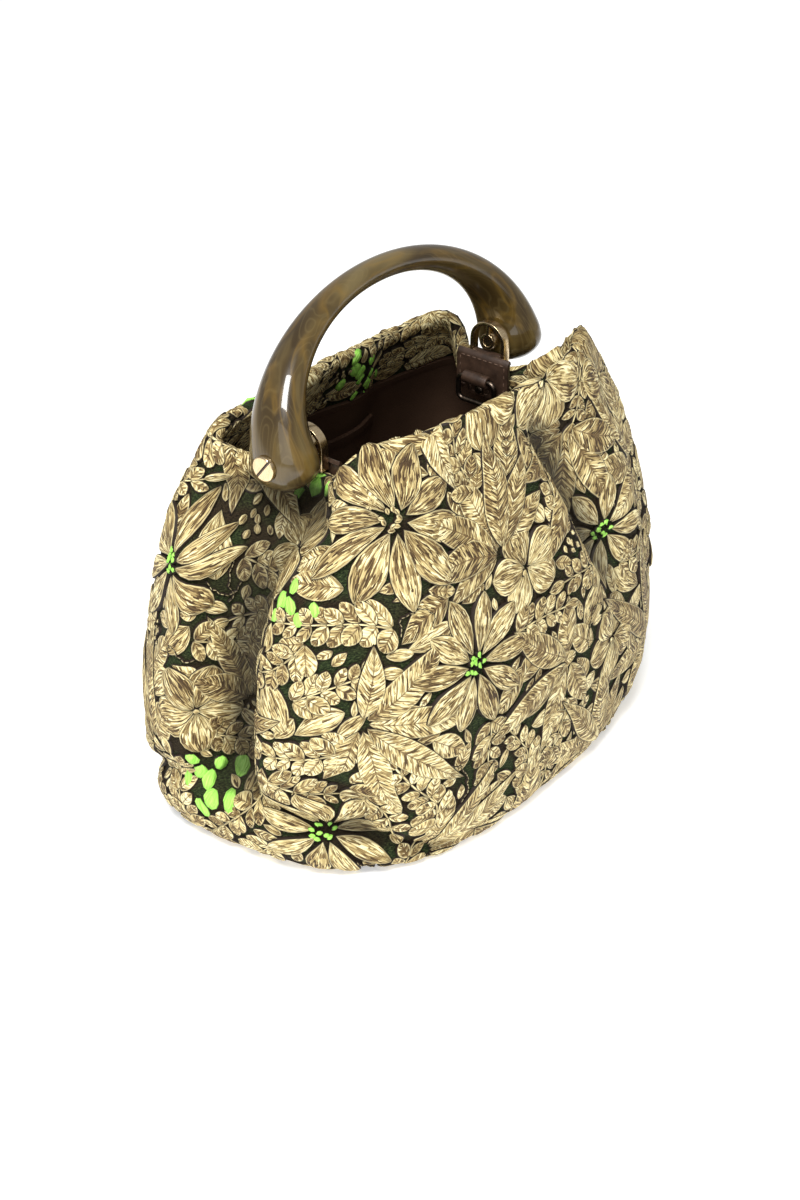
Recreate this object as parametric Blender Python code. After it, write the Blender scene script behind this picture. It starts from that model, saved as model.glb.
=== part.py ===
"""A small gathered pouch of padded brocade with a rigid resin arch handle.

The frame: metres, +Z up, the origin at the middle of the flat underside, -Y the front, +X the right
end. The handle turns on an X axis through the two screws. All cloth follows one body shape, which
body_point gives for any place round the bag and any height, and each layer is set in from it.
"""
import math

import bmesh
import bpy
import numpy as np
from mathutils import Matrix, Vector

# Handle, in metres
PIN_SPAN = 0.150           # between the middles of the two legs, at the screws
PIN_HEIGHT = 0.170         # the screw axis above the surface that the bag stands on
HANDLE_RISE = 0.051        # from the screw axis to the middle of the top
HANDLE_LEAN = 17.7         # degrees, towards the back, as it stands
HANDLE_TOP_WIDTH = 0.0132  # front to back, at the middle of the top
HANDLE_LEG_WIDTH = 0.030   # front to back, at the screws
HANDLE_THICKNESS = 0.76    # thickness as a share of the width, all along
HANDLE_TAPER = 1.15        # how late the legs' width comes, going down
LEG_DROP = 0.013           # from the screw axis to the leg's lower tip
TIP_ROUND = 0.010          # height over which the tip rounds off
TIP_FLAT = 0.0004          # how far up the round the tip's small flat end is cut
ARCH_SQUARENESS = 1.02     # 1 is an ellipse, more is squarer

# Screws, D-rings and leather, in metres
SCREW_HEAD_DIAMETER = 0.0105
SCREW_HEAD_HEIGHT = 0.0020
SCREW_SHANK_DIAMETER = 0.0036
SLOT_WIDTH = 0.0011
SLOT_DEPTH = 0.0009
SLOT_TURN = 38.0           # degrees
HEAD_SEAT_DEPTH = 0.0009   # the head sits in a flat seat cut this deep
RING_WIDTH = 0.018         # over the D-ring, front to back
RING_DROP = 0.0078         # from the screw axis to the middle of the D-ring's bar
RING_BAND = 0.0042         # width of its flat band, along the screw
RING_GAUGE = 0.0016        # thickness of its band
RING_BAR = 0.0022          # width of its square bar
RING_HUB_DIAMETER = 0.0072
TAB_WIDTH = 0.027          # of the leather loop that holds the D-ring
TAB_LENGTH = 0.0152        # below the bar
LEATHER = 0.0017
LOOP_LEATHER = 0.0013      # thinner where it loops round a bar
LOOP_JOIN = 0.0005         # how far a loop reaches into its own strap
HOOD_RADIUS = 0.0020       # of the tab's rolled top edge
STRAP_RING_WIDTH = 0.0215
STRAP_RING_HEIGHT = 0.0135
STRAP_RING_WIRE = 0.0024
STRAP_TAB_WIDTH = 0.0125
STRAP_RING_CORNER = 0.0030 # bend radius of its corners
STRAP_BAR_DROP = 0.015     # from the screw axis to the middle of the oval ring's top bar
STRAP_TAB_LENGTH = 0.0085  # below that bar
RIVET_DROP = 0.0210        # from the screw axis to the rivet
RIVET_DIAMETER = 0.0044
RIVET_SHANK = 0.0018
RIVET_HEIGHT = 0.0009

# Body of the bag, in metres: end values reach past the screws' span, along X
BASE_OVERHANG = 0.034
BASE_FRONT = 0.078
BASE_BACK = 0.070
BELLY_OVERHANG = 0.043
BELLY_FRONT = 0.083
BELLY_BACK = 0.073
BELLY_HEIGHT = 0.062
MOUTH_OVERHANG = 0.016
MOUTH_FRONT = 0.058
MOUTH_BACK = 0.036
MOUTH_HEIGHT = 0.182
BASE_ROUND = 0.009         # radius of the edge round the flat underside
CORNER_POWER = 3.0         # 2 is an ellipse in plan, more is squarer
BODY_SKEW = -0.11          # sideways lean of the plan towards the base, per metre of depth
BODY_SHIFT = -0.003        # how far the plan moves to the right towards the base

# Rim
RIM_FRONT = 0.184          # height of the rim at the middle of the front
RIM_BACK = 0.171
RIM_TILT = -0.035          # fall of the rim from left to right, per metre
WELL_HALF_WIDTH = 0.029    # of the dip in the rim under each handle leg
EARS = (                   # angle, half angle, lift and flare of each soft corner of the rim
    (58, 14, 0.003, -0.003),
    (73, 7, 0.004, 0.0),
    (110, 14, 0.007, 0.002),
    (-112, 17, 0.003, 0.007),
)

# End pleats, boxed corners and gathers
PLEAT_LOW_X = 0.018        # floor of the end pleat low down, past the screws' span
PLEAT_HALF_WIDTH = 0.013   # half width of the pleat low down
PLEAT_FOOT = 0.030         # height at which the pleat runs out
WELL_FOOT = 0.151          # height at which the pleat's floor meets the well's wall
TUCK_HEIGHT = 0.036        # of the boxed corner's fold, in the middle of each end
TUCK_DEPTH = 0.006
TUCK_HALF_WIDTH = 0.007
GATHERS = (                # angle and height of the top and the foot, depth, half widths left and right
    (8, 0.170, 30, 0.080, 0.0125, 0.010, 0.018),
    (-66, 0.055, -60, 0.012, 0.0060, 0.014, 0.012),
    (-38, 0.176, -33, 0.090, 0.0035, 0.010, 0.013),
    (52, 0.172, 49, 0.060, 0.0040, 0.012, 0.012),
    (150, 0.170, 143, 0.070, 0.0045, 0.010, 0.014),
    (205, 0.170, 213, 0.060, 0.0045, 0.014, 0.010),
    (252, 0.160, 246, 0.070, 0.0035, 0.011, 0.011),
    (-63, 0.160, -60, 0.060, 0.0030, 0.011, 0.011),
)

# Cloth
WALL = 0.0030              # padded brocade with its backing
FACING = 0.0022            # the turned-in rim adds this inside
FACING_DEPTH = 0.026       # from the rim down
LINING = 0.0012
POCKET_THICKNESS = 0.0010
POCKET_ANGLES = (152, 212) # its two sides, round the bag
POCKET_HEIGHTS = (0.045, 0.125)
GAP = 0.0003               # between pieces that touch
LAYER_GAP = 0.0008         # between curved layers that lie on each other

# Mesh densities, and where the rows of the body lie: 0 to 1 the underside, 1 to 2 the wall
QUARTER_COLUMNS = 16
RIM_ARC_STEPS = 3
ROUND_SEGMENTS = 24
ARCH_STEPS = 36
ARCH_SIDES = 20
WIRE_SIDES = 8
BASE_SHARES = [0.4, 0.8]
WALL_SHARES = [1.0, 1.012, 1.03, 1.055, 1.09, 1.13, 1.17, 1.215, 1.27, 1.33, 1.40, 1.47, 1.54, 1.61,
               1.68, 1.75, 1.81, 1.87, 1.92, 1.96, 2.0]
INNER_PARTS = [1.0, 0.97, 0.89, 0.80, 0.68, 0.55, 0.43, 0.32, 0.23, 0.15, 0.08, 0.03, 0.0]
COLUMN_CROWDING = 1.15     # 1 is even, more is closer together at the ends of the bag
FACING_ROWS = 4
END_SINE = 0.5             # past this sine of its angle a point belongs to an end of the bag

SIDE_NAMES = {-1: "left", 1: "right"}
SEAM_Y = (BASE_FRONT - BASE_BACK) / 2
LEG_HALF_DEPTH = HANDLE_LEG_WIDTH * HANDLE_THICKNESS / 2
LEG_INNER_X = PIN_SPAN / 2 - LEG_HALF_DEPTH
RING_OUTER_X = LEG_INNER_X - 2 * GAP
RING_INNER_X = RING_OUTER_X - RING_BAND
WELL_X = LEG_INNER_X - 2 * GAP
LOOP_INNER = RING_BAR / 2 * math.sqrt(2.0) + GAP
LOOP_OUTER = LOOP_INNER + LOOP_LEATHER
WELL_HEIGHT = PIN_HEIGHT - RING_DROP - LOOP_OUTER - GAP - (WALL + FACING) / 2
FACE_X = RING_INNER_X + RING_BAR / 2 - LOOP_OUTER - LEATHER / 2 + LOOP_JOIN
STRAP_TAIL_X = FACE_X - LEATHER / 2 - GAP - LOOP_LEATHER / 2
STRAP_BAR_X = STRAP_TAIL_X - LOOP_LEATHER - STRAP_RING_WIRE / 2 - GAP + LOOP_JOIN - LOOP_LEATHER / 2


def smooth(value, low, high):
    """0 below low, 1 above high, and an even step between."""
    share = np.clip((value - low) / (high - low), 0.0, 1.0)
    return share * share * (3.0 - 2.0 * share)


def level(height, base, belly, mouth):
    """A body size at a height, from its values at the base, belly and mouth."""
    low = np.clip(1.0 - height / BELLY_HEIGHT, 0.0, 1.0)
    high = np.clip((height - BELLY_HEIGHT) / (MOUTH_HEIGHT - BELLY_HEIGHT), 0.0, None)
    return belly - (belly - base) * low ** 3 - (belly - mouth) * high ** 2


def edge_inset(height):
    """How far the round edge of the underside is set in at a height."""
    rise = np.clip(1.0 - height / BASE_ROUND, 0.0, 1.0)
    return BASE_ROUND * (1.0 - np.sqrt(np.clip(1.0 - rise * rise, 0.0, 1.0)))


def ear_weight(angle, middle, half_angle):
    """1 at the middle of an ear, fading out over its half angle, in degrees."""
    turn = (np.degrees(angle) - middle + 180.0) % 360.0 - 180.0
    return np.exp(-((turn / half_angle) ** 2))


def plan_point(angle, height):
    """Outer x and y at an angle round the bag (0 front, 90 right end) and a height."""
    sine = np.sin(angle)
    cosine = np.cos(angle)
    inset = edge_inset(height)
    length = PIN_SPAN / 2 + level(height, BASE_OVERHANG, BELLY_OVERHANG, MOUTH_OVERHANG) - inset
    front = level(height, BASE_FRONT, BELLY_FRONT, MOUTH_FRONT) - inset
    back = level(height, BASE_BACK, BELLY_BACK, MOUTH_BACK) - inset
    depth = np.where(cosine > 0.0, front, back)
    power = CORNER_POWER
    radius = (np.abs(sine / length) ** power + np.abs(cosine / depth) ** power) ** (-1.0 / power)
    for middle, half_angle, _, flare in EARS:
        radius = radius + flare * ear_weight(angle, middle, half_angle) * smooth(height, 0.09, MOUTH_HEIGHT)
    for top_angle, top, foot_angle, foot, fold, left, right in GATHERS:
        share = np.clip((top - height) / (top - foot), 0.0, 1.0)
        middle = np.radians(top_angle + (foot_angle - top_angle) * share)
        turn = (angle - middle + np.pi) % (2.0 * np.pi) - np.pi
        fade = smooth(height, foot - 0.03, foot + 0.03) * (1.0 - smooth(height, top - 0.015, top + 0.012))
        half_width = np.where(turn < 0.0, left, right)
        radius = radius - fold * fade * np.exp(-((turn * radius / half_width) ** 2))
    x = radius * sine
    y = -radius * cosine
    pleat_top = np.clip(height / WELL_FOOT, 0.0, 1.0) ** 8
    low_x = PIN_SPAN / 2 + PLEAT_LOW_X
    floor_x = low_x - (low_x - WELL_X) * pleat_top
    pleat = np.clip(length - floor_x, 0.0, None) * smooth(height, PLEAT_FOOT - 0.012, PLEAT_FOOT + 0.018)
    half_width = PLEAT_HALF_WIDTH + (WELL_HALF_WIDTH - PLEAT_HALF_WIDTH) * pleat_top
    at_end = np.abs(sine) > END_SINE
    x = x - np.sign(sine) * np.where(at_end, pleat * np.exp(-(np.abs(y) / half_width) ** 3), 0.0)
    tuck_middle = TUCK_HEIGHT * (1.0 - (y / BELLY_FRONT) ** 2)
    tuck = TUCK_DEPTH * np.exp(-(((height - tuck_middle) / TUCK_HALF_WIDTH) ** 2))
    tuck = tuck * smooth(np.abs(sine), 0.45, 0.80) * smooth(height, 0.0, BASE_ROUND)
    x = x - tuck * sine
    y = y + tuck * cosine
    lower = 1.0 - np.clip(height / MOUTH_HEIGHT, 0.0, 1.0) ** 2
    return x + BODY_SKEW * y * lower + BODY_SHIFT * lower ** 3, y


def rim_height(angle):
    """Height of the rim round the bag: front, back, the wells and the ears."""
    x, y = plan_point(angle, np.full_like(angle, MOUTH_HEIGHT))
    front_share = 0.5 + 0.5 * np.clip(np.cos(angle) * 2.0, -1.0, 1.0)
    height = RIM_BACK + (RIM_FRONT - RIM_BACK) * front_share + RIM_TILT * x
    for middle, half_angle, lift, _ in EARS:
        height = height + lift * ear_weight(angle, middle, half_angle)
    dip = np.exp(-(np.abs(y) / WELL_HALF_WIDTH) ** 3) * (np.abs(np.sin(angle)) > END_SINE)
    return height - (height - WELL_HEIGHT) * dip


def body_point(angle, share):
    """Outer surface: share 0 is the middle of the underside, 1 its edge, 2 the rim."""
    on_base = np.clip(share, 0.0, 1.0)
    rise = np.clip(share - 1.0, 0.0, 1.0)
    height = rise * rim_height(angle)
    x, y = plan_point(angle, height)
    return np.stack([x * on_base, y * on_base, height], axis=-1)


def inward(angle, share):
    """Unit normal of the outer surface, pointing into the bag."""
    step = 1e-3
    low = np.clip(share - step, 1e-6, 2.0)
    high = np.clip(share + step, 1e-6, 2.0)
    along = body_point(angle, high) - body_point(angle, low)
    around = body_point(angle + step, share) - body_point(angle - step, share)
    normal = np.cross(along, around)
    on_seam = np.abs(np.cos(angle)) < 1e-9
    normal[..., 1] = np.where(on_seam, 0.0, normal[..., 1])
    return normal / np.linalg.norm(normal, axis=-1, keepdims=True)


def layer_points(angles, share, depth):
    """One row of points at a share of the profile, set in by depth."""
    share = np.broadcast_to(share, angles.shape).astype(float)
    return body_point(angles, share) + inward(angles, share) * depth


def facing_share(angles):
    """Share of the profile at the facing's lower edge."""
    return 2.0 - FACING_DEPTH / rim_height(angles)


def column_angles():
    """Angles from the left seam over the front to the right seam, closer together at both."""
    steps = np.linspace(0.0, 1.0, QUARTER_COLUMNS + 1) ** COLUMN_CROWDING * math.pi / 2
    return np.concatenate([steps, math.pi - steps[-2::-1]]) - math.pi / 2


# Building the meshes

def material(name, color, roughness, metallic=0.0):
    """A plain Principled material."""
    made = bpy.data.materials.new(name)
    made.use_nodes = True
    shader = made.node_tree.nodes["Principled BSDF"]
    shader.inputs["Base Color"].default_value = (*color, 1.0)
    shader.inputs["Roughness"].default_value = roughness
    shader.inputs["Metallic"].default_value = metallic
    return made


def add_object(name, mesh, look, parent, smooth_angle=40.0):
    """An object under its parent, smooth apart from its sharp edges."""
    made = bpy.data.objects.new(name, mesh)
    bpy.context.scene.collection.objects.link(made)
    mesh.materials.append(look)
    mesh.shade_smooth()
    mesh.set_sharp_from_angle(angle=math.radians(smooth_angle))
    made.parent = parent
    return made


def mesh_from(bm, name):
    """Close a bmesh into a mesh with its faces pointing out."""
    bmesh.ops.recalc_face_normals(bm, faces=bm.faces)
    mesh = bpy.data.meshes.new(name)
    bm.to_mesh(mesh)
    bm.free()
    return mesh


def grid_faces(bm, rows, closed):
    """Triangles between rows of vertices, all split the same way; a row of one vertex is a pole."""
    for lower, upper in zip(rows[:-1], rows[1:]):
        count = max(len(lower), len(upper))
        for first in range(count if closed else count - 1):
            second = (first + 1) % count
            corners = [lower[first % len(lower)], lower[second % len(lower)],
                       upper[second % len(upper)], upper[first % len(upper)]]
            if len(set(corners)) < 4:
                bm.faces.new(list(dict.fromkeys(corners)))
                continue
            if corners[3].co.z < corners[0].co.z:
                corners = corners[1:] + corners[:1]
            bm.faces.new((corners[0], corners[1], corners[2]))
            bm.faces.new((corners[0], corners[2], corners[3]))


def panel_rows(angles):
    """Rows of a panel's section: up the outside, over the rim and down the inside."""
    thick = WALL + FACING
    rows = [layer_points(angles, share, 0.0) for share in BASE_SHARES + WALL_SHARES]
    rim = rows[-1]
    into = inward(angles, np.full_like(angles, 2.0))
    up = rim - rows[-2]
    up = up / np.linalg.norm(up, axis=-1, keepdims=True)
    for step in range(1, RIM_ARC_STEPS + 1):
        turn = math.pi * step / (RIM_ARC_STEPS + 1)
        middle = rim + into * thick / 2
        rows.append(middle + (up * math.sin(turn) - into * math.cos(turn)) * thick / 2)
    edge = facing_share(angles)
    for share in np.linspace(0.0, 1.0, FACING_ROWS):
        rows.append(layer_points(angles, 2.0 + (edge - 2.0) * share, thick))
    for share in inner_shares(edge):
        rows.append(layer_points(angles, share, WALL))
    for share in BASE_SHARES[::-1]:
        rows.append(layer_points(angles, share, WALL))
    return rows


def inner_shares(edge):
    """Shares of the profile from the facing's lower edge down to the underside's edge."""
    return [1.0 + (edge - 1.0) * part for part in INNER_PARTS]


def make_panel(name, angles, side, look, parent):
    """Half the padded cloth, as one closed solid cut flat along the seams."""
    bm = bmesh.new()
    shift = np.array([0.0, side * GAP / 2, 0.0])
    rows = []
    outer_pole = bm.verts.new(Vector(shift))
    rows.append([outer_pole])
    for points in panel_rows(angles):
        rows.append([bm.verts.new(Vector(point + shift)) for point in points])
    inner_pole = bm.verts.new(Vector(shift + np.array([0.0, 0.0, WALL])))
    rows.append([inner_pole])
    grid_faces(bm, rows, closed=False)
    open_edges = [edge for edge in bm.edges if len(edge.link_faces) == 1]
    bmesh.ops.triangle_fill(bm, use_beauty=True, edges=open_edges, normal=(0.0, 1.0, 0.0))
    return add_object(name, mesh_from(bm, name), look, parent)


def lining_rows(angles, depth):
    """Rows of the lining at one depth, from its top edge down."""
    edge = facing_share(angles)
    shares = inner_shares(edge)[1:] + BASE_SHARES[::-1]
    return [layer_points(angles, share, depth) for share in shares]


def make_lining(angles, look, parent):
    """The inner bag, open at the top."""
    bm = bmesh.new()
    outside = WALL + LAYER_GAP
    inside = outside + LINING
    rows = [[bm.verts.new((0.0, 0.0, outside))]]
    for points in lining_rows(angles, outside)[::-1]:
        rows.append([bm.verts.new(Vector(point)) for point in points])
    for points in lining_rows(angles, inside):
        rows.append([bm.verts.new(Vector(point)) for point in points])
    rows.append([bm.verts.new((0.0, 0.0, inside))])
    grid_faces(bm, rows, closed=True)
    return add_object("lining", mesh_from(bm, "lining"), look, parent)


def make_pocket(angles, look, parent):
    """The flat open pocket on the back of the lining."""
    low, high = [math.radians(value) for value in POCKET_ANGLES]
    wrapped = angles % (2.0 * math.pi)
    chosen = np.sort(wrapped[(wrapped > low) & (wrapped < high)])
    outside = WALL + LAYER_GAP + LINING + LAYER_GAP
    inside = outside + POCKET_THICKNESS
    rows = []
    for share in inner_shares(facing_share(chosen)):
        height = np.mean((share - 1.0) * rim_height(chosen))
        if POCKET_HEIGHTS[0] < height < POCKET_HEIGHTS[1]:
            rows.append((layer_points(chosen, share, outside), layer_points(chosen, share, inside)))
    bm = bmesh.new()
    outer = [[bm.verts.new(Vector(point)) for point in row[0]] for row in rows]
    inner = [[bm.verts.new(Vector(point)) for point in row[1]] for row in rows]
    grid_faces(bm, outer, closed=False)
    grid_faces(bm, inner, closed=False)
    grid_faces(bm, [outer[0], inner[0]], closed=False)
    grid_faces(bm, [outer[-1], inner[-1]], closed=False)
    grid_faces(bm, [[row[0] for row in outer], [row[0] for row in inner]], closed=False)
    grid_faces(bm, [[row[-1] for row in outer], [row[-1] for row in inner]], closed=False)
    return add_object("slip_pocket", mesh_from(bm, "slip_pocket"), look, parent)


def arch_line(share):
    """Middle line of the handle in its own plane: 0 and 1 are the legs' tips."""
    half_length = math.pi / 2
    turn = (2.0 * share - 1.0) * (half_length + LEG_DROP / HANDLE_RISE)
    if abs(turn) > half_length:
        drop = (abs(turn) - half_length) * HANDLE_RISE
        return Vector((math.copysign(PIN_SPAN / 2, turn), 0.0, -drop))
    power = 1.0 / ARCH_SQUARENESS
    sine = abs(math.sin(turn)) ** power
    cosine = math.cos(turn) ** power
    return Vector((math.copysign(PIN_SPAN / 2 * sine, turn), 0.0, HANDLE_RISE * cosine))


def make_handle(look, parent):
    """The cast arch: an oval section that grows from the top to the legs, with round tips."""
    bm = bmesh.new()
    rows = []
    for step in range(ARCH_STEPS + 1):
        share = step / ARCH_STEPS
        here = arch_line(share)
        along = (arch_line(min(share + 1e-3, 1.0)) - arch_line(max(share - 1e-3, 0.0))).normalized()
        across = Vector((0.0, 1.0, 0.0))
        radial = across.cross(along)
        spread = min(abs(here.z - HANDLE_RISE) / HANDLE_RISE, 1.0)
        width = HANDLE_TOP_WIDTH + (HANDLE_LEG_WIDTH - HANDLE_TOP_WIDTH) * spread ** HANDLE_TAPER
        from_tip = max(LEG_DROP + here.z, TIP_FLAT) if here.z < 0.0 else LEG_DROP
        tip = min(from_tip / TIP_ROUND, 1.0)
        half = width / 2 * math.sqrt(1.0 - (1.0 - tip) ** 2)
        ring = []
        for side in range(ARCH_SIDES):
            angle = 2.0 * math.pi * side / ARCH_SIDES
            offset = radial * (half * HANDLE_THICKNESS * math.cos(angle)) + across * (half * math.sin(angle))
            ring.append(bm.verts.new(here + offset))
        rows.append(ring)
    grid_faces(bm, rows, closed=True)
    bm.faces.new(rows[0])
    bm.faces.new(rows[-1])
    handle = add_object("handle", mesh_from(bm, "handle"), look, parent)
    handle.location = (0.0, 0.0, PIN_HEIGHT)
    handle.rotation_euler = (-math.radians(HANDLE_LEAN), 0.0, 0.0)
    reach = PIN_SPAN / 2 + HANDLE_LEG_WIDTH
    bore = cylinder_cutter("handle_bore", SCREW_SHANK_DIAMETER / 2 + GAP, -reach, reach, handle)
    cut(handle, bore)
    seat = PIN_SPAN / 2 + LEG_HALF_DEPTH - HEAD_SEAT_DEPTH
    for side in (-1, 1):
        ends = sorted((side * seat, side * reach))
        spot = cylinder_cutter("head_seat", SCREW_HEAD_DIAMETER / 2 + GAP, *ends, handle)
        cut(handle, spot)
    return handle


def cylinder_cutter(name, radius, start, end, parent):
    """A hidden cylinder along X."""
    bm = bmesh.new()
    turn = Matrix.Rotation(math.pi / 2, 4, "Y")
    place = Matrix.Translation(((start + end) / 2, 0.0, 0.0)) @ turn
    bmesh.ops.create_cone(bm, cap_ends=True, segments=ROUND_SEGMENTS, radius1=radius, radius2=radius,
                          depth=end - start, matrix=place)
    mesh = mesh_from(bm, name)
    cutter = bpy.data.objects.new(name, mesh)
    bpy.context.scene.collection.objects.link(cutter)
    cutter.parent = parent
    cutter.hide_render = True
    cutter.display_type = "WIRE"
    return cutter


def box_cutter(name, low, high, parent):
    """A hidden box between two corners."""
    bm = bmesh.new()
    size = Vector(high) - Vector(low)
    place = Matrix.Translation((Vector(low) + Vector(high)) / 2) @ Matrix.Diagonal((*size, 1.0))
    bmesh.ops.create_cube(bm, size=1.0, matrix=place)
    cutter = bpy.data.objects.new(name, mesh_from(bm, name))
    bpy.context.scene.collection.objects.link(cutter)
    cutter.parent = parent
    cutter.hide_render = True
    cutter.display_type = "WIRE"
    return cutter


def cut(target, cutter, operation="DIFFERENCE"):
    """Cut or join one object with another by an exact Boolean."""
    modifier = target.modifiers.new(cutter.name, "BOOLEAN")
    modifier.operation = operation
    modifier.object = cutter
    modifier.solver = "EXACT"


def make_screw(side, look, parent):
    """A slotted screw: domed head outside the leg, shank into the D-ring's hub."""
    name = f"handle_screw_{SIDE_NAMES[side]}"
    seat = PIN_SPAN / 2 + LEG_HALF_DEPTH - HEAD_SEAT_DEPTH + GAP
    top = seat + SCREW_HEAD_HEIGHT
    edge = SCREW_HEAD_HEIGHT * 0.3
    head = SCREW_HEAD_DIAMETER / 2
    shank = SCREW_SHANK_DIAMETER / 2
    profile = [(RING_INNER_X + GAP, shank), (seat, shank), (seat, head), (top - edge, head),
               (top - edge * 0.3, head - edge * 0.7), (top, head * 0.72)]
    screw = add_object(name, turned(name, profile, side), look, parent)
    screw.location = (0.0, 0.0, PIN_HEIGHT)
    low = (min(side * (top - SLOT_DEPTH), side * (top + SLOT_DEPTH)), -SLOT_WIDTH / 2, -head * 1.2)
    high = (max(side * (top - SLOT_DEPTH), side * (top + SLOT_DEPTH)), SLOT_WIDTH / 2, head * 1.2)
    slot = box_cutter(f"{name}_slot", low, high, screw)
    slot.rotation_euler = (math.radians(SLOT_TURN), 0.0, 0.0)
    cut(screw, slot)
    return screw


def plate(name, outlines, inner_x, outer_x, side):
    """A flat plate across X from outlines in Y and Z, the first one its edge, the rest its holes."""
    bm = bmesh.new()
    edges = []
    for outline in outlines:
        loop = [bm.verts.new((side * inner_x, y, z)) for y, z in outline]
        edges += [bm.edges.new((loop[index - 1], loop[index])) for index in range(len(loop))]
    bmesh.ops.triangle_fill(bm, use_beauty=True, edges=edges, normal=(1.0, 0.0, 0.0))
    made = bmesh.ops.extrude_face_region(bm, geom=bm.faces[:])
    moved = [item for item in made["geom"] if isinstance(item, bmesh.types.BMVert)]
    bmesh.ops.translate(bm, verts=moved, vec=(side * (outer_x - inner_x), 0.0, 0.0))
    return mesh_from(bm, name)


def arc(center_y, center_z, radius, start, end, steps):
    """Points on an arc in the Y and Z plane, angles in degrees from +Y towards +Z."""
    points = []
    for step in range(steps + 1):
        angle = math.radians(start + (end - start) * step / steps)
        points.append((center_y + radius * math.cos(angle), center_z + radius * math.sin(angle)))
    return points


def make_ring(side, look, parent):
    """The D-ring: a flat band over the screw, a hub on a short rib, and a square bar below."""
    name = f"handle_ring_{SIDE_NAMES[side]}"
    outer = RING_WIDTH / 2
    inner = outer - RING_GAUGE
    foot = -RING_DROP - RING_BAR / 2
    floor = -RING_DROP + RING_BAR / 2
    hub = RING_HUB_DIAMETER / 2
    rib = RING_GAUGE / 2
    lip = math.degrees(math.asin(rib / inner))
    waist = math.degrees(math.asin(rib / hub))
    edge = arc(0.0, 0.0, outer, 0.0, 180.0, 14) + [(-outer, foot), (outer, foot)]
    window = arc(0.0, 0.0, inner, 90.0 - lip, 0.0, 6) + [(inner, floor), (-inner, floor)]
    window += arc(0.0, 0.0, inner, 180.0, 90.0 + lip, 6)
    window += arc(0.0, 0.0, hub, 90.0 + waist, 450.0 - waist, 14)
    bore = arc(0.0, 0.0, SCREW_SHANK_DIAMETER / 2 + GAP, 0.0, 337.5, 15)
    mesh = plate(name, [edge, window, bore], RING_INNER_X, RING_OUTER_X, side)
    ring = add_object(name, mesh, look, parent)
    ring.location = (0.0, 0.0, PIN_HEIGHT)
    ends = sorted((side * (RING_INNER_X + RING_BAR), side * (RING_OUTER_X + RING_BAND)))
    low = (ends[0], -inner, foot - RING_BAR)
    high = (ends[1], inner, floor + GAP)
    cut(ring, box_cutter(f"{name}_relief", low, high, ring))
    return ring


def strip_profile(points, thickness):
    """A closed strip of one thickness along a line of points, as its outline."""
    line = [Vector(point) for point in points]
    left = []
    right = []
    for index, point in enumerate(line):
        before = line[max(index - 1, 0)]
        after = line[min(index + 1, len(line) - 1)]
        along = (after - before).normalized()
        normal = Vector((-along.y, along.x))
        left.append(point + normal * thickness / 2)
        right.append(point - normal * thickness / 2)
    return left + right[::-1]


def extrude_profile(name, outline, half_width, side):
    """A solid across Y from an outline in outward distance and height."""
    bm = bmesh.new()
    front = [bm.verts.new((side * point[0], -half_width, point[1])) for point in outline]
    face = bm.faces.new(front)
    made = bmesh.ops.extrude_face_region(bm, geom=[face])
    moved = [item for item in made["geom"] if isinstance(item, bmesh.types.BMVert)]
    bmesh.ops.translate(bm, verts=moved, vec=(0.0, 2.0 * half_width, 0.0))
    return mesh_from(bm, name)


def helper_object(name, mesh, parent):
    """A hidden solid that a Boolean uses."""
    made = bpy.data.objects.new(name, mesh)
    bpy.context.scene.collection.objects.link(made)
    made.parent = parent
    made.hide_render = True
    made.display_type = "WIRE"
    return made


def add_loop(piece, side, bar_x, bar_z, middle, half_width, parent):
    """Join a leather loop round a bar to its strap, open at the outer lower side."""
    name = f"{piece.name}_loop"
    line = arc(bar_x, bar_z, middle, -20.0, 325.0, 18)
    mesh = extrude_profile(name, strip_profile(line, LOOP_LEATHER), half_width, side)
    cut(piece, helper_object(name, mesh, parent), "UNION")


def make_handle_tab(side, look, parent):
    """The wide leather tab: a hooded face inside the bag, with a loop round the D-ring's bar."""
    name = f"handle_tab_{SIDE_NAMES[side]}"
    bar_z = PIN_HEIGHT - RING_DROP
    top = bar_z + LOOP_OUTER - LEATHER / 2
    line = [(FACE_X, bar_z - TAB_LENGTH), (FACE_X, top - HOOD_RADIUS)]
    line += arc(FACE_X + HOOD_RADIUS, top - HOOD_RADIUS, HOOD_RADIUS, 157.5, 105.0, 3)
    mesh = extrude_profile(name, strip_profile(line, LEATHER), TAB_WIDTH / 2, side)
    tab = add_object(name, mesh, look, parent)
    half_width = RING_WIDTH / 2 - RING_GAUGE - GAP
    middle = LOOP_INNER + LOOP_LEATHER / 2
    add_loop(tab, side, RING_INNER_X + RING_BAR / 2, bar_z, middle, half_width, parent)
    cut(tab, rivet_bore(tab, side, parent))
    return tab


def make_strap_tab(side, look, parent):
    """The small leather loop that holds the oval ring, riveted to the handle tab's face."""
    name = f"strap_tab_{SIDE_NAMES[side]}"
    bar_z = PIN_HEIGHT - STRAP_BAR_DROP
    line = [(STRAP_TAIL_X, bar_z - STRAP_TAB_LENGTH), (STRAP_TAIL_X, bar_z)]
    mesh = extrude_profile(name, strip_profile(line, LOOP_LEATHER), STRAP_TAB_WIDTH / 2, side)
    tab = add_object(name, mesh, look, parent)
    middle = STRAP_RING_WIRE / 2 + GAP + LOOP_LEATHER / 2
    add_loop(tab, side, STRAP_BAR_X, bar_z, middle, STRAP_TAB_WIDTH / 2, parent)
    cut(tab, rivet_bore(tab, side, parent))
    return tab


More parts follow.
